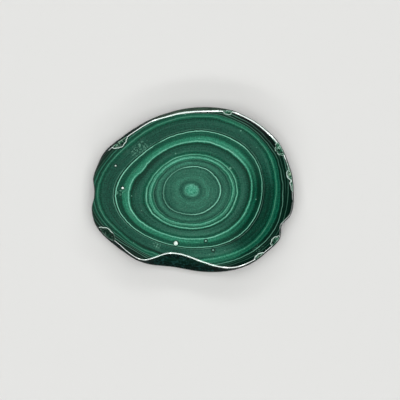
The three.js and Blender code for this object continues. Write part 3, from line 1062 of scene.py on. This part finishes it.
# %% Crushed edges
CRUSHED = paint(150, 186, 168)
BREAK_DEEP = paint(2, 34, 26)
BREAK_BLACK = paint(0, 12, 10)
OLD_BREAKS = [  # patches that have darkened again
    (18.0, 6.0, 208, 16, 0.75), (16.3, 1.3, 145, 12, 0.9), (18.3, 4.0, 329, 5, 0.3),
]
LEAST_WIDTH = 0.02
RAGGED_SWING = 6.0  # how far noise widens or narrows the line, in widths


def crushed_group():
    tree = new_group("Crushed edge", "ShaderNodeTree", {
        "Distance": ("NodeSocketFloat", 1.0), "Place": ("NodeSocketVector", None),
        "Width": ("NodeSocketFloat", 0.14), "Raggedness": ("NodeSocketFloat", 1.0),
    }, {"Mask": "NodeSocketFloat"})
    given = add(tree, "NodeGroupInput").outputs
    distance = calc(tree, "MULTIPLY", given["Distance"], 1 / MM)
    ragged = swell(tree, given["Place"], 1.6, 3.0, 6.0)
    swing = calc(tree, "MULTIPLY", ragged, RAGGED_SWING)
    uneven = calc(tree, "MULTIPLY_ADD", swing, given["Raggedness"], 1.0)
    width = calc(tree, "MULTIPLY", given["Width"], uneven)
    widths_away = calc(tree, "DIVIDE", distance, calc(tree, "MAXIMUM", width, LEAST_WIDTH))
    mask = calc(tree, "SUBTRACT", 1.0, widths_away, clamp=True)
    return close_group(tree, [ease(tree, mask, 0.0, 0.7)])


crushed_edge = crushed_group()


def crushed_mask(tree, place, **changes):
    """The ragged line along the edge of the chips."""
    distance = read_attribute(tree, CHIP_DISTANCE)
    return use(tree, crushed_edge, {"Distance": distance, "Place": place, **changes})["Mask"]


print("crushed edge group has", len(crushed_edge.nodes), "nodes")

# %% [markdown]
# Pale inclusions lie in the polished face: specks as small as a pin's point, and two pits too shallow
# to hold powder. Each is a ball of colour at its place, with an edge made ragged by noise, and every
# pit also has a dark halo. Specks are gathered into one mask before any colour is mixed, because a
# shader tree can hold only so many values at once.

# %% Specks in the face
SPECKS = [  # x, y and radius in mm, and how much of its colour shows
    (-13.74, -0.4, 0.14, 0.6), (-11.9, -1.1, 0.16, 0.6), (7.8, 4.45, 0.34, 0.6), (-6.74, -10.8, 0.2, 0.6),
    (-6.95, -11.2, 0.24, 0.6), (12.95, -1.75, 0.16, 0.6), (9.93, 11.95, 0.2, 0.8), (-3.14, 7.4, 0.22, 0.5),
    (-1.2, 15.2, 0.16, 0.6), (-9.94, -4.0, 0.14, 0.5), (10.66, -11.6, 0.16, 0.4), (6.66, -12.0, 0.14, 0.35),
    (3.66, -12.8, 0.14, 0.35), (5.66, -13.4, 0.14, 0.35), (4.46, -13.6, 0.14, 0.35),
    (13.06, 8.6, 0.14, 0.4), (-11.54, -10.4, 0.14, 0.4),
]
SPECK_COLOR = paint(122, 184, 158)
FILLED_PITS = [  # x, y and radius of pits too shallow to hold powder, and how much of their colour shows
    (2.9, -10.08, 0.24, 0.85), (4.38, -11.94, 0.26, 0.55),
]
FILLED_COLOR = paint(156, 220, 194)
PIT_HALO = 0.4
SPECK_RAGGEDNESS = 0.3


def speck_group():
    tree = new_group("Speck", "ShaderNodeTree", {
        "Place": ("NodeSocketVector", None), "Centre": ("NodeSocketVector", None),
        "Radius": ("NodeSocketFloat", 0.15),
    }, {"Mask": "NodeSocketFloat"})
    given = add(tree, "NodeGroupInput").outputs
    away = vector_value(tree, "DISTANCE", given["Place"], given["Centre"])
    lumps = noise(tree, given["Place"], 6.0, 2.0, 7.0)
    ragged = calc(tree, "MULTIPLY_ADD", lumps, SPECK_RAGGEDNESS, away)
    share = calc(tree, "DIVIDE", calc(tree, "SUBTRACT", ragged, SPECK_RAGGEDNESS / 2), given["Radius"])
    return close_group(tree, [ease(tree, share, 0.3, 1.0, 1.0, 0.0)])


speck = speck_group()


def gather_specks(tree, place, specks):
    """Many specks as one mask: each is x, y and radius in mm, and how much of it shows."""
    gathered = 0.0
    for x, y, radius, share in specks:
        mask = use(tree, speck, {"Place": place, "Centre": (x, y, THICKNESS), "Radius": radius})["Mask"]
        gathered = calc(tree, "MAXIMUM", gathered, calc(tree, "MULTIPLY", mask, share))
    return gathered


print(len(SPECKS), "specks and", len(FILLED_PITS), "filled pits")

# %% [markdown]
# The polished face is what the slice was made for. Malachite bends light strongly, so even a bare
# polish mirrors more than glass does, and a softbox overhead lies on it as a thin grey veil. The
# polish isn't perfect: it has faint wheel marks, and soft coats wear a little lower than hard ones.

# %% The marks of the polishing wheel
MARK_PACE = (0.12, 9.0, 1.0)  # lumps per mm along the marks, across them and down
MARK_HEIGHT = 0.35
SOFT_COAT_DROP = -0.4


def polish_group():
    tree = new_group("Wheel marks", "ShaderNodeTree", {
        "Place": ("NodeSocketVector", None), "Tone": ("NodeSocketFloat", 0.5),
        "Direction": ("NodeSocketFloat", 0.6),
    }, {"Height": "NodeSocketFloat", "Dullness": "NodeSocketFloat"})
    given = add(tree, "NodeGroupInput").outputs
    turned = made(tree, "ShaderNodeVectorRotate", {"Vector": given["Place"], "Angle": given["Direction"]})
    drawn = vector_calc(tree, "MULTIPLY", turned, MARK_PACE)
    marks = noise(tree, drawn, 1.0, 3.0, 8.0)
    waves = noise(tree, given["Place"], 0.35, 1.0, 9.0)
    worn = calc(tree, "MULTIPLY", given["Tone"], SOFT_COAT_DROP)
    height = calc(tree, "ADD", calc(tree, "MULTIPLY_ADD", marks, MARK_HEIGHT, worn), waves)
    dullness = ease(tree, noise(tree, given["Place"], 0.5, 4.0, 10.0), 0.35, 0.75)
    return close_group(tree, [height, dullness])


wheel_marks = polish_group()
print("wheel mark group has", len(wheel_marks.nodes), "nodes")

# %% [markdown]
# The face is the stone's own colour with four things laid over it, one after the other: specks and
# crumbs, halos and filled pits, the crushed edges, and six places along the rim by chips, where a
# pale line is painted along the broken edge as its highlight, with a dark band beside it.

# %% The polished face
CRUMBS = [  # patches of crumbs
    (14.1, 1.5, 141, 12, 1.5), (14.0, 1.3, 237, 7, 0.8), (12.3, 1.2, 181, 4, 1.2), (17.6, 1.2, 319, 4, 0.7),
]
CRUMB_SHARE = 0.45
GLINT_EDGES = [  # patches along chip edges where a pale highlight is painted in
    (17.2, 4.0, 146, 10, 1.3), (17.6, 4.0, 203.6, 6, 2.2), (17.6, 4.0, 66, 6, 0.6), (18.2, 4.0, 6, 7, 0.9),
    (18.2, 4.0, 329, 5, 0.75), (18.0, 4.0, 316, 5.5, 1.4),
]
# the painted highlight along chip edges, and the dark band beside it
EDGE_GLINT = paint(214, 236, 226)
EDGE_GLINT_FADE = (0.05, 0.19)  # mm from the broken edge where the painted highlight starts to fade and where it ends
EDGE_DARK_FADE = (0.3, 0.5)
EDGE_DARK_SHARE = 0.6
FACE_CRUSHED_SHARE = 0.75
FACE_ROUGHNESS = 0.04
FACE_DULLNESS = 0.03  # more roughness where the wheel polished less well
CRUSHED_ROUGHNESS = 0.4
MARK_DEPTH = 0.0006


def inclusions_over(tree, stone, color):
    """Lays specks, crumbs, halos and filled pits over a colour."""
    place = stone["Place"]
    color = mix_color(tree, gather_specks(tree, place, SPECKS), color, SPECK_COLOR)
    grains = ease(tree, noise(tree, place, 3.4, 3.0, 19.0), 0.52, 0.62)
    crumbs = calc(tree, "MULTIPLY", grains, stone_patches(tree, stone, CRUMBS), clamp=True)
    color = lay_over(tree, color, crumbs, CRUMB_SHARE, SPECK_COLOR)
    halos = [(x, y, radius + PIT_HALO, 1.0) for x, y, radius, *_ in PITS + FILLED_PITS]
    color = mix_color(tree, gather_specks(tree, place, halos), color, BREAK_DEEP)
    return mix_color(tree, gather_specks(tree, place, FILLED_PITS), color, FILLED_COLOR)


def edge_glints_over(tree, stone, color):
    """Lays a painted highlight, a pale line along a chip's broken edge, over a colour, and the dark band
    beside it.
    """
    away = calc(tree, "MULTIPLY", read_attribute(tree, CHIP_DISTANCE), 1 / MM)
    glinting = calc(tree, "MINIMUM", stone_patches(tree, stone, GLINT_EDGES), 1.0)
    dark_side = calc(tree, "MULTIPLY", ease(tree, away, *EDGE_DARK_FADE, 1.0, 0.0), glinting)
    color = lay_over(tree, color, dark_side, EDGE_DARK_SHARE, BREAK_DEEP)
    return lay_over(tree, color, ease(tree, away, *EDGE_GLINT_FADE, 1.0, 0.0), glinting, EDGE_GLINT)


def dress_polished_face():
    tree, shader, vector = dress(POLISHED, roughness=0.08, ior=MALACHITE_IOR)
    stone = use(tree, malachite_stone, {"Vector": vector})
    color = inclusions_over(tree, stone, stone["Color"])
    crushed = crushed_mask(tree, stone["Place"])
    fresh = calc(tree, "SUBTRACT", 1.0, stone_patches(tree, stone, OLD_BREAKS), clamp=True)
    crushed = calc(tree, "MULTIPLY", crushed, fresh)
    color = lay_over(tree, color, crushed, FACE_CRUSHED_SHARE, CRUSHED)
    # the painted highlight along six chip edges, with a dark band beside it
    color = edge_glints_over(tree, stone, color)
    tree.links.new(color, shader.inputs["Base Color"])
    marks = use(tree, wheel_marks, {"Place": stone["Place"], "Tone": stone["Tone"]})
    roughness = calc(tree, "MULTIPLY_ADD", marks["Dullness"], FACE_DULLNESS, FACE_ROUGHNESS)
    roughness = calc(tree, "MULTIPLY_ADD", crushed, CRUSHED_ROUGHNESS, roughness)
    tree.links.new(roughness, shader.inputs["Roughness"])
    bump(tree, shader, marks["Height"], MARK_DEPTH)
    spread_out(tree)


dress_polished_face()
print("polished face:", len(POLISHED.node_tree.nodes), "nodes,", len(GLINT_EDGES), "painted edge glints")

# %% [markdown]
# The wall is the stalactite's own skin. Its near-black colour is partly its last coats and partly
# painted shade of the steep wall. It is mottled with a dark blue green, and it is lumpy and dull, so
# it mirrors very little. Where the bay slopes outwards, the coats come to the surface as faint lines
# along the rim, which the shared growth rule gives by itself. Along its widest line a pale band is
# painted in as the highlight where the bulge catches light, and along the top a patch higher up is
# paler.

# %% The natural skin
SKIN_IOR = 1.05
# the skin's near-black is partly its own last coats and partly painted shade of the steep wall
SKIN_DARK_AND_SHADE = paint(7, 14, 13)
SKIN_DARK_AND_SHADE_SHARE = 0.87  # the rest is the colour of the rings, which show through faintly
SKIN_BLUE = paint(28, 64, 60)
MOTTLE_SHARE = 0.85
# a pale band along the widest line is a painted highlight where the bulge catches light; the same colour
# makes a paler patch high up
SKIN_GLINT_AND_PALE = paint(92, 122, 98)
GLINT_WIDTH = 0.45  # mm on either side of the widest line
PALE_HIGH = [(17.5, 4.0, 92, 34, 0.45)]  # the patch of skin that is paler high up
PALE_CLIMB = 1.8  # mm over which it sets in, from the widest line upwards
SKIN_CRUSHED_SHARE = 0.6
SKIN_ROUGHNESS = 0.4
MOTTLE_ROUGHNESS = 0.2
SKIN_GRAIN = 0.05


def skin_glint_and_pale(tree, stone):
    """Where the skin is paler: a painted highlight along its widest line, and a paler patch high up."""
    place = stone["Place"]
    height = height_of(tree, place)
    off = distance_from(tree, height, SKIN_HEIGHT)
    widest = ease(tree, off, 0.0, GLINT_WIDTH, 1.0, 0.0)
    patchy = ease(tree, noise(tree, place, 0.7, 3.0, 17.0), 0.35, 0.65, 0.1, 0.6)
    widest = calc(tree, "MULTIPLY", widest, patchy)
    high = calc(tree, "MULTIPLY", stone_patches(tree, stone, PALE_HIGH),
                ease(tree, height, SKIN_HEIGHT, SKIN_HEIGHT + PALE_CLIMB))
    patchy = ease(tree, noise(tree, place, 1.0, 4.0, 20.0), 0.3, 0.7, 0.4, 1.2)
    return calc(tree, "MAXIMUM", widest, calc(tree, "MULTIPLY", high, patchy))


def dress_skin():
    tree, shader, vector = dress(SKINNED, roughness=0.5, ior=SKIN_IOR)
    stone = use(tree, malachite_stone, {"Vector": vector, "Line strength": 0.5})
    place = stone["Place"]
    mottle = ease(tree, noise(tree, place, 2.2, 5.0, 11.0), 0.5, 0.62)
    color = mix_color(tree, SKIN_DARK_AND_SHADE_SHARE, stone["Color"], SKIN_DARK_AND_SHADE)
    color = lay_over(tree, color, mottle, MOTTLE_SHARE, SKIN_BLUE)
    color = mix_color(tree, skin_glint_and_pale(tree, stone), color, SKIN_GLINT_AND_PALE)
    color = lay_over(tree, color, crushed_mask(tree, place), SKIN_CRUSHED_SHARE, CRUSHED)
    tree.links.new(color, shader.inputs["Base Color"])
    roughness = calc(tree, "MULTIPLY_ADD", mottle, MOTTLE_ROUGHNESS, SKIN_ROUGHNESS)
    tree.links.new(roughness, shader.inputs["Roughness"])
    bump(tree, shader, noise(tree, place, 3.0, 4.0, 12.0), SKIN_GRAIN)
    spread_out(tree)


dress_skin()
print("natural skin:", len(SKINNED.node_tree.nodes), "nodes")

# %% [markdown]
# The back was sawn and never polished. It shows the same rings, but dull and dusty, under the long
# shallow arcs that the saw blade left.

# %% The sawn back
SAW_RADIUS = 75.0  # mm from the eye to the middle of the blade
ARCS_PER_MM = 2.2
ARC_DEPTH = 0.02
ARC_DUST = 0.12
ARC_ROUGHNESS = 0.15
BACK_ROUGHNESS = 0.42
DUST = paint(120, 158, 140)


def dress_back():
    tree, shader, vector = dress(SAWN, roughness=0.5, ior=MALACHITE_IOR)
    stone = use(tree, malachite_stone, {"Vector": vector, "Line strength": 0.6})
    place = stone["Place"]
    blade = vector_value(tree, "DISTANCE", place, (0.0, -SAW_RADIUS, 0.0))
    arcs = made(tree, "ShaderNodeTexNoise",
                {"W": calc(tree, "MULTIPLY", blade, ARCS_PER_MM), "Scale": 1.0, "Detail": 3.0},
                noise_dimensions="1D")
    dust = ease(tree, noise(tree, place, 1.2, 5.0, 13.0), 0.3, 0.8, 0.1, 0.34)
    dust = calc(tree, "MULTIPLY_ADD", arcs, ARC_DUST, dust)
    color = mix_color(tree, dust, stone["Color"], DUST)
    tree.links.new(color, shader.inputs["Base Color"])
    roughness = calc(tree, "MULTIPLY_ADD", arcs, ARC_ROUGHNESS, BACK_ROUGHNESS)
    tree.links.new(roughness, shader.inputs["Roughness"])
    bump(tree, shader, arcs, ARC_DEPTH)
    spread_out(tree)


dress_back()
print("sawn back:", len(SAWN.node_tree.nodes), "nodes")

# %% [markdown]
# A fresh break is bright and splintery: the fibres are torn across, and each facet catches light in
# its own way. The facets are in the mesh; the colour is the stone's own, lighter, and changes from
# grain to grain. Deeper down, some breaks have opened the yellowish rind under the skin.

# %% Fresh breaks
BREAK_IOR = 1.25
BREAK_GREEN = paint(58, 126, 95)
SPLINTERS_PER_MM = 4.6
SPLINTER_PALE = paint(170, 206, 190)
RIND = paint(158, 194, 160)
RINDS = [(18.2, 4.0, 9, 14, 1.3), (17.6, 4.0, 145, 10, 0.45), (18.2, 4.0, 316, 5, 1.2)]  # its patches
BREAK_STONE_SHARE = 0.25  # how much of the rings' own colour shows in a break
BREAK_RAGGEDNESS = 1.6
PALE_SHARE = 0.9
PALE_FROM = 0.86  # splinters with a shade above this are pale, and more of them are in the rind
RIND_PALENESS = -0.5
BREAK_ROUGHNESS = 0.25
SPLINTER_ROUGHNESS = 0.25
OLD_ROUGHNESS = 0.3
SPLINTER_DEPTH = 0.04


def rind_share(tree, stone):
    """How yellowish the break is: only in its patches, and only some way down."""
    below_face = calc(tree, "SUBTRACT", THICKNESS, height_of(tree, stone["Place"]))
    deep = ease(tree, below_face, 0.3, 0.8)
    return calc(tree, "MULTIPLY", stone_patches(tree, stone, RINDS), deep)


def dress_break():
    tree, shader, vector = dress(BROKEN, roughness=0.34, ior=BREAK_IOR)
    stone = use(tree, malachite_stone, {"Vector": vector, "Line strength": 0.4})
    place = stone["Place"]
    splinters = add(tree, "ShaderNodeTexVoronoi", {"Vector": place, "Scale": SPLINTERS_PER_MM},
                    voronoi_dimensions="3D").outputs
    shade = made(tree, "ShaderNodeSeparateXYZ", [splinters["Color"]])
    color = mix_color(tree, ease(tree, shade, 0.35, 0.5), BREAK_DEEP, BREAK_GREEN)
    color = mix_color(tree, BREAK_STONE_SHARE, color, stone["Color"])
    yellowish = rind_share(tree, stone)
    pale_color = mix_color(tree, yellowish, SPLINTER_PALE, RIND)
    crushed = crushed_mask(tree, place, Raggedness=BREAK_RAGGEDNESS)
    pale_from = calc(tree, "MULTIPLY_ADD", yellowish, RIND_PALENESS, PALE_FROM)
    pale = ease(tree, calc(tree, "SUBTRACT", shade, pale_from), 0.0, 0.1)
    pale = calc(tree, "MAXIMUM", pale, crushed)
    color = lay_over(tree, color, pale, PALE_SHARE, pale_color)
    aged = stone_patches(tree, stone, OLD_BREAKS)
    old_color = mix_color(tree, ease(tree, shade, 0.5, 0.8), BREAK_BLACK, BREAK_DEEP)
    color = mix_color(tree, aged, color, old_color)
    tree.links.new(color, shader.inputs["Base Color"])
    roughness = calc(tree, "MULTIPLY_ADD", shade, SPLINTER_ROUGHNESS, BREAK_ROUGHNESS)
    roughness = calc(tree, "MULTIPLY_ADD", aged, OLD_ROUGHNESS, roughness)
    tree.links.new(roughness, shader.inputs["Roughness"])
    bump(tree, shader, splinters["Distance"], SPLINTER_DEPTH)
    spread_out(tree)


dress_break()
print("fresh break:", len(BROKEN.node_tree.nodes), "nodes")

# %% [markdown]
# Pits are packed with the pale powder that polishing leaves in every hole. It is dry and grainy, so
# it is nearly white, rough, and mirrors as little as plaster does.

# %% Packed powder
POWDER_WHITE = paint(252, 252, 250)
POWDER_GREEN = paint(196, 226, 212)
POWDER_IOR = 1.45
POWDER_ROUGHNESS = 0.85
POWDER_GRAINS_PER_MM = 5.0
POWDER_GRAIN = 0.03


def dress_powder():
    tree, shader, vector = dress(POWDER, roughness=POWDER_ROUGHNESS, ior=POWDER_IOR)
    place = vector_calc(tree, "MULTIPLY", vector, (1 / MM, 1 / MM, 1 / MM))
    grain = ease(tree, noise(tree, place, POWDER_GRAINS_PER_MM, 4.0, 15.0), 0.3, 0.7)
    tree.links.new(mix_color(tree, grain, POWDER_GREEN, POWDER_WHITE), shader.inputs["Base Color"])
    bump(tree, shader, grain, POWDER_GRAIN)
    spread_out(tree)


dress_powder()
print("finishes:", [material.name for material in slab.data.materials])

# %% [markdown]
# The slab rides on the stone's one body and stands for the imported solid, which is then hidden.

# %% The slab takes the solid's place
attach(slab, "root")
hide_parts("malachite_slab")
print(slab.name, "stands for the packed solid")

# %% [markdown]
# The camera looks straight down from half a metre up. Its lens makes the picture 80 mm wide at the
# polished face, and its axis passes a little to the right of the eye and below it.

# %% The camera
PICTURE_WIDTH = 80.0
CAMERA_HEIGHT = 500.0
CAMERA_AIM = (1.76, -1.9)
SENSOR_WIDTH = 36.0

camera = bpy.data.objects.new("camera", bpy.data.cameras.new("camera"))
bpy.context.scene.collection.objects.link(camera)
camera.data.sensor_width = SENSOR_WIDTH
camera.data.lens = SENSOR_WIDTH * CAMERA_HEIGHT / PICTURE_WIDTH
camera.location = Vector((*CAMERA_AIM, THICKNESS + CAMERA_HEIGHT)) * MM
bpy.context.scene.camera = camera
print("lens in mm:", camera.data.lens)

# %% [markdown]
# The slice lies on plain pale paper, far wider than the picture, which takes its shadow and sends a
# little light back up its wall. It is only a stage, and no part of the piece.

# %% The floor
FLOOR_SIZE = 1.2  # metres
FLOOR_PALE = paint(222, 222, 220)
FLOOR_IOR = 1.4
FLOOR_ROUGHNESS = 0.9


def pale_floor():
    """A square of paper with its middle under the stone."""
    half = FLOOR_SIZE / 2
    corners = [(-half, -half, 0), (half, -half, 0), (half, half, 0), (-half, half, 0)]
    mesh = bpy.data.meshes.new("floor")
    mesh.from_pydata(corners, [], [(0, 1, 2, 3)])
    floor = bpy.data.objects.new("floor", mesh)
    bpy.context.scene.collection.objects.link(floor)
    paper = bpy.data.materials.new("pale_paper")
    _, shader, _ = dress(paper, FLOOR_ROUGHNESS, FLOOR_IOR)
    shader.inputs["Base Color"].default_value = FLOOR_PALE
    mesh.materials.append(paper)
    return floor


floor = pale_floor()
print("floor in metres:", [round(side, 3) for side in floor.dimensions.xy])

# %% [markdown]
# The stone is lit evenly, as on a bench under soft lamps. Two rows of soft panels, beyond the top
# edge of the stone and below its bottom edge, give light from the sides. They aren't mirrored: the
# face would show them as white sheets, and hide the rings. Lights are placed in metres.

# %% The soft panels
RIM_FROM_AXIS = 18.0  # mm
KEY_DISTANCE = 1.0
KEY_SLOPE = 36.0
KEY_SIZE = (0.5, 0.14)
KEY_AZIMUTHS = (58, 85, 112, 240, 264, 288)
KEY_RADIANCE = 4.0


def soft_panel(name, place, aim, size, radiance, roll=0.0):
    """A panel of light that the camera doesn't see, as bright as its radiance says."""
    light = bpy.data.lights.new(name, "AREA")
    light.shape = "RECTANGLE"
    light.size, light.size_y = size
    light.energy = radiance * math.pi * size[0] * size[1]
    panel = bpy.data.objects.new(name, light)
    bpy.context.scene.collection.objects.link(panel)
    panel.location = place
    panel.rotation_euler = (Vector(aim) - Vector(place)).to_track_quat("-Z", "Y").to_euler()
    panel.rotation_euler.rotate_axis("Z", roll)
    panel.visible_camera = False
    return panel


def slope_panel(name, azimuth, slope, distance, size, radiance):
    """A panel at a slope above the rim on its side of the stone, facing that rim."""
    angle, climb = math.radians(azimuth), math.radians(slope)
    side = Vector((math.cos(angle), math.sin(angle), 0))
    rim = Vector((0, 0, THICKNESS)) * MM + side * RIM_FROM_AXIS * MM
    way = side * math.cos(climb) + Vector((0, 0, math.sin(climb)))
    return soft_panel(name, rim + way * distance, rim, size, radiance)


def key_lights():
    """Two rows of soft panels."""
    for azimuth in KEY_AZIMUTHS:
        key = slope_panel(f"key_{azimuth}", azimuth, KEY_SLOPE, KEY_DISTANCE, KEY_SIZE, KEY_RADIANCE)
        key.visible_glossy = False


key_lights()
print(len(KEY_AZIMUTHS), "soft panels")

# %% [markdown]
# A polished rim has to be lit by what it reflects. Small strips hang on the slope where the middle
# facet of the arris mirrors them into the lens: that draws the white line along the rim. The arris
# tilts only ten degrees, so they hang high, and near enough to be small. The flat face mirrors them
# only into an eye that looks down just as steeply from the far side, and stays dark from elsewhere.

# %% The rim strips
STRIP_SLOPE = 90 - 2 * ARRIS_TILT - math.degrees(math.atan(RIM_FROM_AXIS / CAMERA_HEIGHT))
STRIP_DISTANCE = 0.6
STRIP_SIZE = (0.11, 0.045)
STRIP_RADIANCE = {  # azimuth in degrees, radiance
    34: 12, 56: 12, 78: 12, 100: 12, 122: 12, 236: 12, 258: 12, 280: 12, 302: 12, 320: 5, 344: 3, 12: 5,
}
STRIP_COLOR = (0.93, 1.0, 0.97)


def rim_strips():
    """Strips that are only mirrored, so that they draw the arris and don't light the floor."""
    for azimuth, radiance in STRIP_RADIANCE.items():
        strip = slope_panel(f"strip_{azimuth}", azimuth, STRIP_SLOPE, STRIP_DISTANCE, STRIP_SIZE, radiance)
        strip.data.color = STRIP_COLOR
        strip.visible_diffuse = False


rim_strips()
print(len(STRIP_RADIANCE), "strips on a slope of", round(STRIP_SLOPE, 1), "degrees")

# %% [markdown]
# A broad panel overhead fills in what the soft panels leave dark. It isn't mirrored either.

# %% The fill panel
FILL_HEIGHT = 1.3
FILL_SIZE = 1.5
FILL_RADIANCE = 2.55

fill = soft_panel("fill_panel", Vector((0, 0, FILL_HEIGHT)), (0, 0, 0), (FILL_SIZE, FILL_SIZE), FILL_RADIANCE)
fill.visible_glossy = False
print("fill panel:", round(fill.data.energy, 2), "W")

# %% [markdown]
# One dim panel hangs above the camera for the gloss of the face. Its edge is set so that its
# reflection lies over the upper left of the face and leaves the lower right deep and clear. What
# lies beyond the lights is nearly dark.

# %% The veil and the dark beyond
PANEL_HEIGHT = 0.75
VEIL_EDGE = [(14.2, 14.0), (6.6, -10.5)]  # two points of the veil's edge on the face, from the camera's axis
VEIL_SIZE = 0.6
VEIL_RADIANCE = 0.105
DARK_GREY = 0.02


def veil_panel():
    """The overhead panel. What a point of the face mirrors lies further from the camera's axis by the
    panel's height over the camera's."""
    spread = 1 + PANEL_HEIGHT / (CAMERA_HEIGHT * MM)
    axis = Vector((*CAMERA_AIM, 0)) * MM
    first, second = [axis + Vector((x, y, 0)) * MM * spread for x, y in VEIL_EDGE]
    along = (second - first).normalized()
    inward = Vector((along.y, -along.x, 0))
    middle = (first + second) / 2 + inward * VEIL_SIZE / 2
    place = middle + Vector((0, 0, PANEL_HEIGHT + THICKNESS * MM))
    below = place - Vector((0, 0, 1))
    roll = math.atan2(along.y, along.x)
    return soft_panel("veil_panel", place, below, (VEIL_SIZE, VEIL_SIZE), VEIL_RADIANCE, roll)


veil = veil_panel()
world = bpy.data.worlds.new("dark_beyond")
world.use_nodes = True
world.node_tree.nodes["Background"].inputs["Color"].default_value = (DARK_GREY, DARK_GREY, DARK_GREY, 1)
bpy.context.scene.world = world
bpy.context.scene.view_settings.view_transform = "Standard"
print("veil's middle in metres:", [round(value, 3) for value in veil.location])
